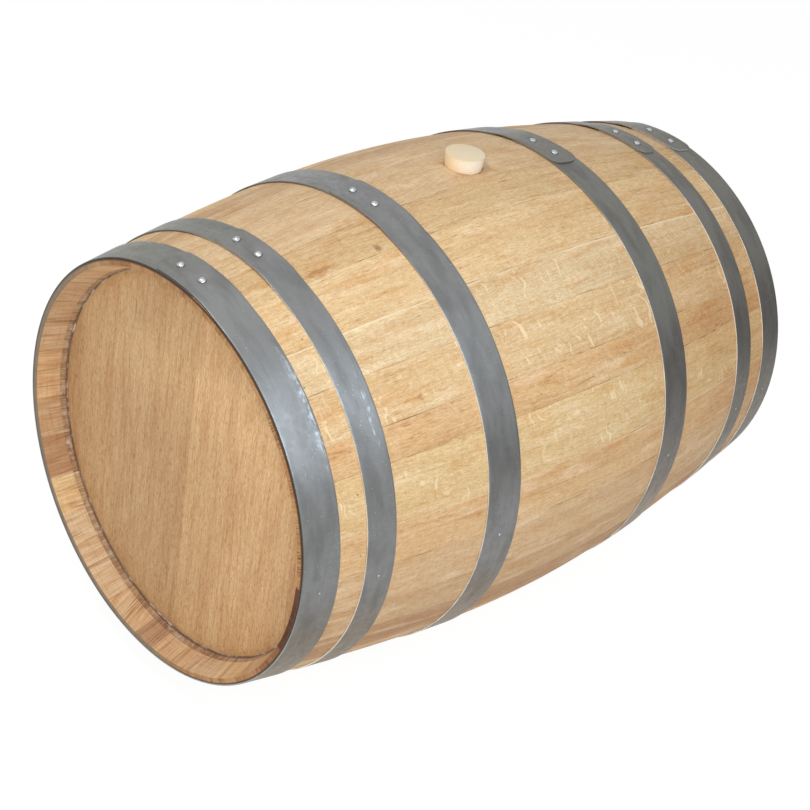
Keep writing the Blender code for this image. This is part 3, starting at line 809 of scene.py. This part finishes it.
def on_long_edge(edge, start, end):
    """Whether an edge runs along one of the stave's two outer corners."""
    for vert in edge.verts:
        angle, radius = polar(vert.co)
        at_side = min(abs(turn_between(angle, start)), abs(turn_between(angle, end))) < SAME
        if not at_side or wood_radius(vert.co.x) - radius > OUTSIDE_DEPTH:
            return False
    return abs(edge.verts[0].co.x - edge.verts[1].co.x) > SAME


def carve(piece, cutter):
    """Cut one piece by another for good, and remove the cutter."""
    boolean = piece.modifiers.new("cut", 'BOOLEAN')
    boolean.operation = 'DIFFERENCE'
    boolean.solver = 'EXACT'
    boolean.object = cutter
    evaluated = piece.evaluated_get(bpy.context.evaluated_depsgraph_get())
    mesh = bpy.data.meshes.new_from_object(evaluated)
    piece.modifiers.clear()
    piece.data = mesh
    bpy.data.objects.remove(cutter)


def paint_stave(piece, index, start, end):
    """Store each point's place in its board, its distances from the seams and outside, and its finish."""
    tones = bpy.context.scene.barrel_tones
    name, rays, streaks, tilt = STAVE_FINISHES[index]
    middle, half = (start + end) / 2, (end - start) / 2
    cosine, sine = math.cos(math.radians(tilt)), math.sin(math.radians(tilt))
    run_out = RUN_OUT * chance(index, 1.7, 0.4)
    shift_along, shift_out = BOARD_SHIFT

    def in_board(point):
        angle, radius = polar(point)
        lean = turn_between(angle, middle)
        across = radius * math.sin(lean) + run_out * point.x
        depth = wood_radius(point.x) - radius * math.cos(lean) + BOARD_SLOPE * point.x
        outwards = across * cosine - depth * sine
        round_it = across * sine + depth * cosine
        bent = outwards + round_it ** 2 / (2 * HEART_DISTANCE)
        return point.x + shift_along * index, bent + shift_out * index, round_it

    def to_seams(point):
        angle, radius = polar(point)
        lean = turn_between(angle, middle)
        return (half + lean) * radius, (half - lean) * radius, wood_radius(point.x) - radius

    tint = (*getattr(tones, name), 1.0)
    end_tint = (*tones.smoke, 1.0) if STAVE_NAMES[index] in DARK_ENDED else tint
    set_points(piece.data, "grain", 'FLOAT_VECTOR', in_board)
    set_points(piece.data, "seams", 'FLOAT_VECTOR', to_seams)
    pale_seam = PALE_SEAMS.get(STAVE_NAMES[index], 0.0)
    set_points(piece.data, "figure", 'FLOAT_VECTOR', lambda point: (rays, streaks, pale_seam))
    set_points(piece.data, "tint", 'FLOAT_COLOR', lambda point: tint)
    set_points(piece.data, "end_tint", 'FLOAT_COLOR', lambda point: end_tint)


class BARREL_OT_staves(bpy.types.Operator):
    """Thirty bent oak staves, with the bung hole in the widest one on top"""
    bl_idname = "barrel.staves"
    bl_label = "Staves"

    def execute(self, context):
        wood = context.scene.barrel_wood
        finishes = [planed_oak(), chime_oak(), howel_oak(), sawn_end_oak(), croze_oak(), charred_oak()]
        spans = [stave_span(name) for name in STAVE_NAMES]
        for index, name in enumerate(STAVE_NAMES):
            start = spans[index][0]
            end = spans[(index + 1) % len(spans)][0]
            arc = (end - start) % (2 * math.pi) - wood.seam_width / BILGE_RADIUS
            sunk = STAVE_UNEVENNESS * abs(chance(index, 2.3, 7.1))
            shape = stave_shape(start, start + arc, sunk)
            piece = to_piece(shape, "oak_" + name, finishes, STAVE_CREASE)
            if name == "bung_stave":
                carve(piece, bung_hole_cutter())
            paint_stave(piece, index, start, start + arc)
            dress(piece, [name])
        return {'FINISHED'}


# Bung

BUNG_SIDES = 96
BUNG_CREASE = 40
HOLE_REACH = 0.02           # how far its hole is cut beyond the foot of the bung
BUNG_EASE = 0.0005
BUNG_SWELL = 0.0010         # how much damp has swollen the bung and its hole
BUNG_SHIFT = -0.0014
BUNG_WEAR = 0.0016          # worn off its top
HEART_SIDE = (-0.73, 0.68, 0)


def bung_outline(play):
    """(centre, top height, foot height, radius at the top) of the bung, from its node."""
    low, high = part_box("bung")
    centre = (low + high) / 2
    radius = (high.x - low.x) / 2 + BUNG_SWELL
    return Vector((centre.x + BUNG_SHIFT, centre.y, 0)), high.z - BUNG_WEAR, low.z, radius + play


def plug(play, reach):
    """Tapered plug in the place of the bung, with some play round it and a longer foot."""
    centre, top, foot, radius = bung_outline(play)
    foot -= reach
    foot_radius = radius - bpy.context.scene.barrel_wood.bung_taper * (top - foot)
    shape = turned([(0, foot), (foot_radius, foot), (radius, top), (0, top)], BUNG_SIDES)
    bmesh.ops.translate(shape, verts=shape.verts, vec=centre)
    return shape


def bung_hole_cutter():
    shape = plug(bpy.context.scene.barrel_wood.bung_play, HOLE_REACH)
    return to_piece(shape, "bung_hole_cutter", [], STAVE_CREASE)


class BARREL_OT_bung(bpy.types.Operator):
    """Tapered poplar bung"""
    bl_idname = "barrel.bung"
    bl_label = "Bung"

    def execute(self, context):
        shape = plug(0.0, 0.0)
        ease(shape, rims_of(shape), BUNG_EASE, segments=3)
        piece = to_piece(shape, "poplar_bung", [turned_poplar()], BUNG_CREASE)
        dress(piece, ["bung"], "bung")
        return {'FINISHED'}


# Heads

HEAD_SIDES = 180
HEAD_CREASE = 20
HEAD_SHIFT = 31             # from the wood of one head to that of the other
HEAD_BOARD_SHIFT = 5.1      # and from that of one board to the next
WAX_RADIUS = 0.0014
WAX_SIDES = 8
WAX_STEPS = 420
WAX_CREASE = 60
WAX_SWELL = 0.75            # the line's usual thickness, as a share of its radius
WAX_LEAST = 0.25
WAX_WAVES = ((0.9, 55), (0.5, 260))         # how far it swells and shrinks, and how often in a metre
BOARD_EASE = 0.00035
BOARD_SHADES = (0.93, 0.89, 0.98, 1.02, 1.00)       # each board's own tone, and partly painted shade: darker towards one side


def head_shape(thickness, radius):
    """The whole head as one disc about Z, its outer face up at height 0."""
    wood = bpy.context.scene.barrel_wood
    profile = [(0, -thickness), (radius, -thickness), (radius, -wood.head_bevel_depth),
               (radius - wood.head_bevel_width, 0), (0, 0)]
    return turned(profile, HEAD_SIDES)


def board_seams(end_name, side):
    """Places of the joints between the boards of one head, from the sides without a tongue."""
    boards = nodes_called(end_name + "_head_board_")
    return [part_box(name)[0 if side > 0 else 1].y for name in boards]


def head_board(end_name, side, number, seams, rim):
    """One board, cut from the whole disc between its two joints."""
    low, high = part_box("%s_head_board_%d" % (end_name, number))
    thickness = high.x - low.x
    outer = high.x if side > 0 else low.x
    shape = head_shape(thickness, rim)
    upright = Matrix.Rotation(side * math.pi / 2, 3, 'Y')
    bmesh.ops.rotate(shape, verts=shape.verts, cent=(0, 0, 0), matrix=upright)
    bmesh.ops.translate(shape, verts=shape.verts, vec=(outer, 0, AXIS_HEIGHT))
    limits = []
    if number > 1:
        limits.append((seams[number - 1], -side))
    if number < len(seams):
        limits.append((seams[number], side))
    for place, direction in limits:
        everything = [*shape.verts, *shape.edges, *shape.faces]
        cut = bmesh.ops.bisect_plane(shape, geom=everything, dist=MERGED, plane_co=(0, place, 0),
                                     plane_no=(0, direction, 0), clear_outer=True)
        joint = [item for item in cut["geom_cut"] if isinstance(item, bmesh.types.BMEdge)]
        bmesh.ops.holes_fill(shape, edges=joint)
        ease(shape, [edge for edge in joint if edge.is_valid], BOARD_EASE, segments=1)
    return shape


def paint_board(piece, number, side):
    """Grain runs up the board; each board has its own wood and tone, which is partly painted shade."""
    tones = bpy.context.scene.barrel_tones
    tint = [channel * BOARD_SHADES[number - 1] for channel in tones.head] + [1.0]
    shift = HEAD_BOARD_SHIFT * number + HEAD_SHIFT * side

    def in_board(point):
        return point.z + shift, point.y + 2 * shift, point.x

    set_points(piece.data, "grain", 'FLOAT_VECTOR', in_board)
    set_points(piece.data, "tint", 'FLOAT_COLOR', lambda point: tint)


class BARREL_OT_heads(bpy.types.Operator):
    """Two flat heads of five oak boards, their rims bevelled into the croze"""
    bl_idname = "barrel.heads"
    bl_label = "Heads"

    def execute(self, context):
        finish = head_oak()
        rim = (HEAD_HIGH - HEAD_LOW) / 2
        for end_name, side in (("front", -1), ("back", 1)):
            seams = board_seams(end_name, side)
            for number in range(1, len(seams) + 1):
                name = "%s_head_board_%d" % (end_name, number)
                shape = head_board(end_name, side, number, seams, rim)
                piece = to_piece(shape, "oak_" + name, [finish], HEAD_CREASE)
                paint_board(piece, number, side)
                dress(piece, [name])
        return {'FINISHED'}


class BARREL_OT_wax(bpy.types.Operator):
    """Thin uneven line of wax and dust between each head and the staves, dark partly as painted shade"""
    bl_idname = "barrel.wax"
    bl_label = "Croze wax"

    def execute(self, context):
        finish = croze_wax_and_shade()
        mouth_x, mouth_radius = inside_outline()[1]
        for name, side in (("front_croze_wax", 1), ("back_croze_wax", -1)):
            shape = bmesh.new()
            upright = Matrix.Translation((0, 0, mouth_radius)) @ Matrix.Rotation(math.pi / 2, 4, 'X')
            bmesh.ops.create_circle(shape, segments=WAX_SIDES, radius=WAX_RADIUS, matrix=upright)
            bmesh.ops.translate(shape, verts=shape.verts, vec=(side * mouth_x, 0, AXIS_HEIGHT))
            bmesh.ops.spin(shape, geom=[*shape.verts, *shape.edges], cent=AXIS_POINT, axis=(1, 0, 0),
                           angle=2 * math.pi, steps=WAX_STEPS, use_merge=True)
            bmesh.ops.remove_doubles(shape, verts=shape.verts, dist=MERGED)
            self.roughen(shape, side * mouth_x, mouth_radius)
            piece = to_piece(shape, name, [finish], WAX_CREASE)
            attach(piece, "barrel")
        return {'FINISHED'}

    def roughen(self, shape, x, radius):
        """Thin and swell the line along its length."""
        for vert in shape.verts:
            angle, _ = polar(vert.co)
            centre = on_barrel(x, angle, radius)
            swell = WAX_SWELL + sum(reach * noise.noise(vert.co * often) for reach, often in WAX_WAVES)
            vert.co = centre + (vert.co - centre) * max(WAX_LEAST, swell)


# Hoops

HOOP_NAMES = [name for name in nodes_called("_hoop") if "rivet" not in name]
STRAP_ROWS = 20
COARSE_STEP = 0.0080
FINE_STEP = 0.0022
FINE_REACH = 0.075          # columns are finer this close to each end of the strap
TONGUE_COLUMNS = (0, 0.03, 0.09, 0.18, 0.30, 0.45, 0.62, 0.80, 1.0)
STRIP_SHIFT = 3.1           # from one hoop's place on its roll of strip to the next
GALVANISED, SHEARED = range(2)
EDGE_ON = 0.5               # a face of the flat strap that points up less than this is a cut edge
SLACK_ANGLE = math.radians(225)             # where the front head hoop stands off most
LAP_MARGIN = 1.5            # degrees between the end of the climb and the inner end
HOOP_CREASE = 35


class HoopSeat:
    """Where a hoop sits: its edges nearer the middle and nearer the end, its lap and its rivets."""

    def __init__(self, node):
        steel = bpy.context.scene.barrel_steel
        low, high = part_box(node)
        self.side = 1 if node.startswith("back") else -1
        self.inner, self.outer = (low.x, high.x) if self.side > 0 else (high.x, low.x)
        self.width = high.x - low.x
        self.inner_radius = wood_radius(self.inner) + SANDING + steel.gap
        self.outer_radius = wood_radius(self.outer) + SANDING + steel.gap
        self.reach = steel.lap_reach / self.outer_radius
        self.whole = 2 * math.pi + 2 * self.reach
        self.length = self.whole * self.outer_radius
        self.climb = steel.lap_ease / self.outer_radius
        self.full_lift = steel.thickness + steel.gap
        self.rivets = rivet_places(node)
        self.flares = node == "front_head_hoop"

    def share(self, x):
        """How far across the strap a place is, from its edge nearer the middle."""
        return (x - self.inner) / (self.outer - self.inner)

    def radius(self, x):
        return self.inner_radius + (self.outer_radius - self.inner_radius) * self.share(x)

    def stand_off(self, x, angle):
        """How far the front head hoop's outer rim flares away from the wood on its slack side."""
        if not self.flares:
            return 0.0
        slack = self.share(x) * max(0.0, math.cos(angle - SLACK_ANGLE))
        return bpy.context.scene.barrel_steel.flare * slack ** 2

    def lift(self, turned_by):
        """How far the strap stands off its seat, turned_by from its inner end, to lap its own end."""
        start = self.whole - 2 * self.reach - self.climb - math.radians(LAP_MARGIN)
        rise = min(1.0, max(0.0, (turned_by - start) / self.climb))
        return self.full_lift * rise * rise * (3 - 2 * rise)


def rivet_places(node):
    """(x, angle) of a hoop's rivets, from their nodes."""
    places = []
    for rivet in nodes_called(node + "_rivet_"):
        points = corners(rivet)
        middle = sum(points, Vector()) / len(points)
        places.append((middle.x, polar(middle)[0]))
    return places


def strap_columns(length):
    """Places along the flat strap, fine at its ends and coarse between them."""
    steel = bpy.context.scene.barrel_steel
    tip = [share * steel.tongue_depth for share in TONGUE_COLUMNS]
    past_tongue = FINE_REACH - steel.tongue_depth
    fine = round(past_tongue / FINE_STEP)
    tip += [steel.tongue_depth + past_tongue * (step + 1) / fine for step in range(fine)]
    coarse = round((length - 2 * FINE_REACH) / COARSE_STEP)
    middle = [FINE_REACH + (length - 2 * FINE_REACH) * (step + 1) / coarse for step in range(coarse - 1)]
    return tip + middle + [length - place for place in reversed(tip)]


def flat_strap(length, width):
    """The strap before it is rolled: a strip with rounded ends and eased edges, Z its thickness."""
    steel = bpy.context.scene.barrel_steel
    columns = strap_columns(length)
    shape = bmesh.new()
    bmesh.ops.create_grid(shape, x_segments=len(columns) - 1, y_segments=STRAP_ROWS, size=0.5)
    for vert in shape.verts:
        along = columns[round((vert.co.x + 0.5) * (len(columns) - 1))]
        from_end = min(along, length - along, steel.tongue_depth) / steel.tongue_depth
        share = steel.tongue_tip + (1 - steel.tongue_tip) * math.sqrt(1 - (1 - from_end) ** 2)
        vert.co = (along, vert.co.y * width * share, 0)
    grown = bmesh.ops.extrude_face_region(shape, geom=shape.faces[:])
    raised = [item for item in grown["geom"] if isinstance(item, bmesh.types.BMVert)]
    bmesh.ops.translate(shape, verts=raised, vec=(0, 0, steel.thickness))
    bmesh.ops.recalc_face_normals(shape, faces=shape.faces)
    for face in shape.faces:
        face.material_index = SHEARED if abs(face.normal.z) < EDGE_ON else GALVANISED
    ease(shape, rims_of(shape), steel.edge_ease)
    return shape


def roll_strap(shape, seat):
    """Bend the flat strap round the barrel, on its cone, with its outer end over its inner end."""
    steel = bpy.context.scene.barrel_steel
    for vert in shape.verts:
        along, across, height = vert.co
        x = seat.inner + (seat.outer - seat.inner) * (across / seat.width + 0.5)
        turned_by = seat.whole * along / seat.length
        angle = seat.side * (turned_by - seat.reach)
        radius = seat.radius(x) + seat.stand_off(x, angle)
        dished = height > steel.thickness / 2 and turned_by > math.pi
        dish = dimple(x, angle, radius, seat.rivets) if dished else 0.0
        vert.co = on_barrel(x, angle, radius + seat.lift(turned_by) + height - dish)


def dimple(x, angle, radius, rivets):
    """How deep the strap is dished at a place, by the blows that set the nearest rivet."""
    steel = bpy.context.scene.barrel_steel
    depth = 0.0
    for rivet_x, rivet_angle in rivets:
        distance = math.hypot(x - rivet_x, turn_between(angle, rivet_angle) * radius)
        share = min(1.0, distance / steel.dimple_radius)
        depth = max(depth, steel.dimple_depth * (1 - share * share) ** 2)
    return depth


class BARREL_OT_hoops(bpy.types.Operator):
    """Six galvanised hoops, each one strip rolled round the staves and lapped at the top"""
    bl_idname = "barrel.hoops"
    bl_label = "Hoops"

    def execute(self, context):
        finishes = [galvanised_steel(), sheared_steel()]
        for name in HOOP_NAMES:
            seat = HoopSeat(name)
            shape = flat_strap(seat.length, seat.width)
            layer = shape.verts.layers.float_vector.new("strip")
            shift = Vector((STRIP_SHIFT * HOOP_NAMES.index(name), 0, 0))
            for vert in shape.verts:
                vert[layer] = vert.co + shift
            roll_strap(shape, seat)
            piece = to_piece(shape, "steel_" + name, finishes, HOOP_CREASE)
            dress(piece, [name])
        return {'FINISHED'}


# Rivets and nails

RIVET_SIDES = 32
RIVET_FOOT = 1.5            # length of a rivet under its head, in depths of its dimple
RIVET_SINK = 0.6            # and how deep its head sits in the dimple, as a share of that depth
DOME_STEPS = 6
DOME_CREASE = 50
NAIL_FOOT = 0.0004
NAIL_WANDER = 0.9           # degrees by which a nail may be out of line
NAIL_LEAN = 0.25            # and how far it may lean, in radians
LAP_SEARCH = 20             # degrees each side of the top within which the lap lies
NAIL_ANGLE = 90.5           # one nail half way down the side of each hoop, in degrees from the top
STEM_SHARE = 0.5            # width of the stem under a rivet's or nail's head, as a share of the head
BRIM_SHARE = 0.25           # how far the head's brim reaches down, as a share of the stem's length


def strap_top(seat, x, angle):
    """The frame that stands on a hoop's outside at a place, with Z outwards."""
    turned_by = seat.side * angle + seat.reach
    if seat.side * angle < math.radians(LAP_SEARCH):
        turned_by += 2 * math.pi
    lift = seat.lift(min(turned_by, seat.whole))
    radius = seat.radius(x) + lift + bpy.context.scene.barrel_steel.thickness
    slant = math.atan((seat.inner_radius - seat.outer_radius) / (seat.outer - seat.inner))
    return (Matrix.Translation(AXIS_POINT) @ Matrix.Rotation(angle, 4, 'X')
            @ Matrix.Translation((x, 0, radius)) @ Matrix.Rotation(slant, 4, 'Y'))


def dome_shape(radius, height, foot):
    """Low round head on a short stem, its edge at height 0. Each point knows its share of the rise."""
    stem, brim = radius * STEM_SHARE, -foot * BRIM_SHARE
    profile = [(0, -foot), (stem, -foot), (stem, brim), (radius, brim)]
    bend = (radius ** 2 + height ** 2) / (2 * height)
    reach = math.asin(radius / bend)
    for step in range(DOME_STEPS):
        lean = reach * (1 - step / DOME_STEPS)
        profile.append((bend * math.sin(lean), height - bend * (1 - math.cos(lean))))
    profile.append((0, height))
    shape = turned(profile, RIVET_SIDES)
    rise = shape.verts.layers.float_vector.new("rise")
    for vert in shape.verts:
        vert[rise] = (vert.co.z / height, 0, 0)
    return shape


class BARREL_OT_rivets(bpy.types.Operator):
    """Two domed rivets through the lap of each hoop"""
    bl_idname = "barrel.rivets"
    bl_label = "Rivets"

    def execute(self, context):
        steel = context.scene.barrel_steel
        finish = zinc_plated_steel()
        for hoop in HOOP_NAMES:
            seat = HoopSeat(hoop)
            for node, (x, angle) in zip(nodes_called(hoop + "_rivet_"), seat.rivets):
                foot = steel.dimple_depth * RIVET_FOOT
                shape = dome_shape(steel.rivet_radius, steel.rivet_height, foot)
                sunk = Matrix.Translation((0, 0, -steel.dimple_depth * RIVET_SINK))
                bmesh.ops.transform(shape, verts=shape.verts, matrix=strap_top(seat, x, angle) @ sunk)
                piece = to_piece(shape, "steel_" + node, [finish], DOME_CREASE)
                dress(piece, [node])
        return {'FINISHED'}


class BARREL_OT_nails(bpy.types.Operator):
    """One small hoop nail through each hoop into a stave"""
    bl_idname = "barrel.nails"
    bl_label = "Hoop nails"

    def execute(self, context):
        steel = context.scene.barrel_steel
        finish = zinc_plated_steel()
        for number, hoop in enumerate(HOOP_NAMES):
            seat = HoopSeat(hoop)
            angle = math.radians(NAIL_ANGLE + NAIL_WANDER * chance(number, 3.3, 0.2))
            shape = dome_shape(steel.nail_radius, steel.nail_height, NAIL_FOOT)
            knock = Matrix.Rotation(NAIL_LEAN * chance(number, 5.9, 1.2), 4, 'X')
            middle = (seat.inner + seat.outer) / 2
            bmesh.ops.transform(shape, verts=shape.verts, matrix=strap_top(seat, middle, angle) @ knock)
            piece = to_piece(shape, hoop + "_nail", [finish], DOME_CREASE)
            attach(piece, "barrel")
        return {'FINISHED'}


# Stage

CAMERA_PLACE = Vector((-1.58953, -1.39658, 1.62172))
CAMERA_AIM = Vector((0.6296247, 0.5617355, -0.5366806))
CAMERA_UP = Vector((0.2815048, 0.4788978, 0.8315119))
CAMERA_LENS = 77.88         # millimetres, on a 36 mm sensor
FLAT_CREASE = 30
FLOOR_SIZE = 40.0
FLOOR_PAPER = 0.90
FLOOR_LIGHT = 1.08          # how bright the part of the floor is that no shadow darkens
FLOOR_GLOW = 0.86           # share of the floor's look that no shadow darkens
GLOW_IN_STEEL = 0.70        # the same share where steel mirrors the floor
WORLD_LIGHT = 0.40
WORLD_TINT = (1.0, 0.965, 0.915, 1.0)
WHITE = (1.0, 1.0, 1.0, 1.0)
# Softboxes that face the barrel: name, place, size, power and tint
SOFTBOXES = (
    ("key", (-1.9, -1.7, 1.8), (1.1, 1.1), 27, "#ffffff"),
    ("top", (-1.1, 0.3, 2.6), (0.55, 0.55), 18, "#ffffff"),
    ("window", (-0.3, -2.6, 2.7), (1.3, 2.2), 38, "#dcedff"),
)
# Cards that only the steel sees: name, line of corners, how far it is drawn out from there, and colour
CARDS = (
    ("low_card", ((1.4, -3.1, 0), (3.2, -3.1, 0)), (0, 0, 0.95), "#5b5651"),
    ("low_end_card", ((3.2, -3.1, 0), (3.2, 1.6, 0)), (0, 0, 0.95), "#8a847c"),
    ("front_floor_card", ((-0.6, -3.2, 0.002), (-0.6, -0.46, 0.002)), (0.93, 0, 0), "#ffffff"),
    ("under_card", ((-0.6, -0.46, 0.002), (-0.6, 0.30, 0.002)), (1.3, 0, 0), "#f1e1cf"),
    ("end_card", ((3.25, -3.1, 0.6), (3.25, 3.0, 0.6)), (0, 0, 2.8), "#d1cdc2"),
    ("side_card", ((-1.0, 3.0, 0), (1.5, 3.0, 0)), (0, 0, 4.5), "#eeece2"),
    ("near_floor_card", ((0.35, -2.6, 0.002), (0.62, 1.2, 0.002)), (1.0, 0, 0), "#d4cdc5"),
    ("far_floor_card", ((1.5, -2.6, 0.002), (1.5, 1.2, 0.002)), (1.7, 0, 0), "#9e9890"),
)


def bare_tree(owner):
    """The node tree of a material or a world, with nothing in it."""
    owner.use_nodes = True
    owner.node_tree.nodes.clear()
    return owner.node_tree


def ray_is(tree, *kinds):
    """1 for light paths of any of these kinds, and 0 for the others."""
    path = add_node(tree, 'ShaderNodeLightPath', {}).outputs
    return chained(tree, 'MAXIMUM', *[path["Is %s Ray" % kind] for kind in kinds])


def white_floor():
    """Matt white paper. Seen directly it is white, and a part of its own shading keeps the shadow."""
    material = bpy.data.materials.new("white_paper_floor")
    tree = bare_tree(material)
    paper = add_node(tree, 'ShaderNodeBsdfDiffuse', {'Color': (FLOOR_PAPER, FLOOR_PAPER, FLOOR_PAPER, 1.0)})
    glow = add_node(tree, 'ShaderNodeEmission', {'Color': WHITE, 'Strength': FLOOR_LIGHT})
    mirrored = product(tree, ray_is(tree, "Glossy"), GLOW_IN_STEEL)
    straight = product(tree, ray_is(tree, "Camera", "Transmission"), FLOOR_GLOW)
    share = maths(tree, 'MAXIMUM', mirrored, straight)
    mixed = add_node(tree, 'ShaderNodeMixShader', {0: share, 1: paper.outputs[0], 2: glow.outputs[0]})
    add_node(tree, 'ShaderNodeOutputMaterial', {'Surface': mixed.outputs[0]})
    return material


def mirrored_card(name, line, run, colour):
    """Evenly lit card that the steel mirrors and nothing else sees."""
    material = bpy.data.materials.new("lit_card")
    tree = bare_tree(material)
    glow = add_node(tree, 'ShaderNodeEmission', {'Color': (*linear(colour), 1.0), 'Strength': 1.0})
    add_node(tree, 'ShaderNodeOutputMaterial', {'Surface': glow.outputs[0]})
    shape = bmesh.new()
    foot = [shape.verts.new(corner) for corner in line]
    edges = [shape.edges.new(pair) for pair in zip(foot, foot[1:])]
    drawn = bmesh.ops.extrude_edge_only(shape, edges=edges)["geom"]
    moved = [item for item in drawn if isinstance(item, bmesh.types.BMVert)]
    bmesh.ops.translate(shape, verts=moved, vec=run)
    card = to_piece(shape, name, [material], FLAT_CREASE)
    card.visible_camera = False
    card.visible_diffuse = False
    card.visible_shadow = False


def soft_world():
    """Even studio light, white where it is seen directly and in what metal or glass send on."""
    world = bpy.data.worlds.new("studio")
    tree = bare_tree(world)
    light = add_node(tree, 'ShaderNodeBackground', {'Color': WORLD_TINT, 'Strength': WORLD_LIGHT})
    white = add_node(tree, 'ShaderNodeBackground', {'Color': WHITE, 'Strength': 1.0})
    seen = ray_is(tree, "Camera", "Glossy", "Transmission")
    mixed = add_node(tree, 'ShaderNodeMixShader', {0: seen, 1: light.outputs[0], 2: white.outputs[0]})
    add_node(tree, 'ShaderNodeOutputWorld', {'Surface': mixed.outputs[0]})
    bpy.context.scene.world = world


def add_softbox(name, place, size, power, tint):
    """Rectangular lamp that shines at the middle of the barrel."""
    lamp = bpy.data.lights.new(name, 'AREA')
    lamp.shape = 'RECTANGLE'
    lamp.size, lamp.size_y = size
    lamp.energy = power
    lamp.color = linear(tint)
    softbox = bpy.data.objects.new(name, lamp)
    turn = (AXIS_POINT - Vector(place)).to_track_quat('-Z', 'Y').to_matrix()
    softbox.matrix_world = Matrix.Translation(place) @ turn.to_4x4()
    bpy.context.scene.collection.objects.link(softbox)


class BARREL_OT_stage(bpy.types.Operator):
    """White floor, soft studio light and the camera"""
    bl_idname = "barrel.stage"
    bl_label = "Stage"

    def execute(self, context):
        shape = bmesh.new()
        bmesh.ops.create_grid(shape, x_segments=1, y_segments=1, size=FLOOR_SIZE / 2)
        floor = to_piece(shape, "floor", [white_floor()], FLAT_CREASE)
        soft_world()
        for card in CARDS:
            mirrored_card(*card)
        for softbox in SOFTBOXES:
            add_softbox(*softbox)
        lens = bpy.data.cameras.new("camera")
        lens.lens = CAMERA_LENS
        camera = bpy.data.objects.new("camera", lens)
        sideways = CAMERA_AIM.cross(CAMERA_UP)
        turn = Matrix((sideways, CAMERA_UP, -CAMERA_AIM)).transposed()
        camera.matrix_world = Matrix.Translation(CAMERA_PLACE) @ turn.to_4x4()
        context.scene.collection.objects.link(camera)
        context.scene.camera = camera
        context.scene.view_settings.view_transform = 'Standard'
        return {'FINISHED'}


class BARREL_PT_panel(bpy.types.Panel):
    """Lists the steps that make the barrel"""
    bl_idname = "BARREL_PT_panel"
    bl_label = "Whiskey barrel"
    bl_space_type = 'VIEW_3D'
    bl_region_type = 'UI'
    bl_category = "Barrel"

    def draw(self, context):
        for step in STEPS:
            self.layout.operator(step.bl_idname)
        for group in (context.scene.barrel_wood, context.scene.barrel_steel, context.scene.barrel_tones):
            box = self.layout.box()
            for name in group.__annotations__:
                box.prop(group, name)


STEPS = (BARREL_OT_stage, BARREL_OT_staves, BARREL_OT_heads, BARREL_OT_wax, BARREL_OT_hoops,
         BARREL_OT_rivets, BARREL_OT_nails, BARREL_OT_bung)
GROUPS = (BarrelWood, BarrelSteel, BarrelTones)


def register():
    for item in GROUPS + STEPS + (BARREL_PT_panel,):
        bpy.utils.register_class(item)
    bpy.types.Scene.barrel_wood = bpy.props.PointerProperty(type=BarrelWood)
    bpy.types.Scene.barrel_steel = bpy.props.PointerProperty(type=BarrelSteel)
    bpy.types.Scene.barrel_tones = bpy.props.PointerProperty(type=BarrelTones)


def unregister():
    del bpy.types.Scene.barrel_wood
    del bpy.types.Scene.barrel_steel
    del bpy.types.Scene.barrel_tones
    for item in reversed(GROUPS + STEPS + (BARREL_PT_panel,)):
        bpy.utils.unregister_class(item)


def main():
    register()
    bpy.ops.barrel.stage()
    bpy.ops.barrel.staves()
    bpy.ops.barrel.heads()
    bpy.ops.barrel.wax()
    bpy.ops.barrel.hoops()
    bpy.ops.barrel.rivets()
    bpy.ops.barrel.nails()
    bpy.ops.barrel.bung()


if __name__ == "__main__":
    main()
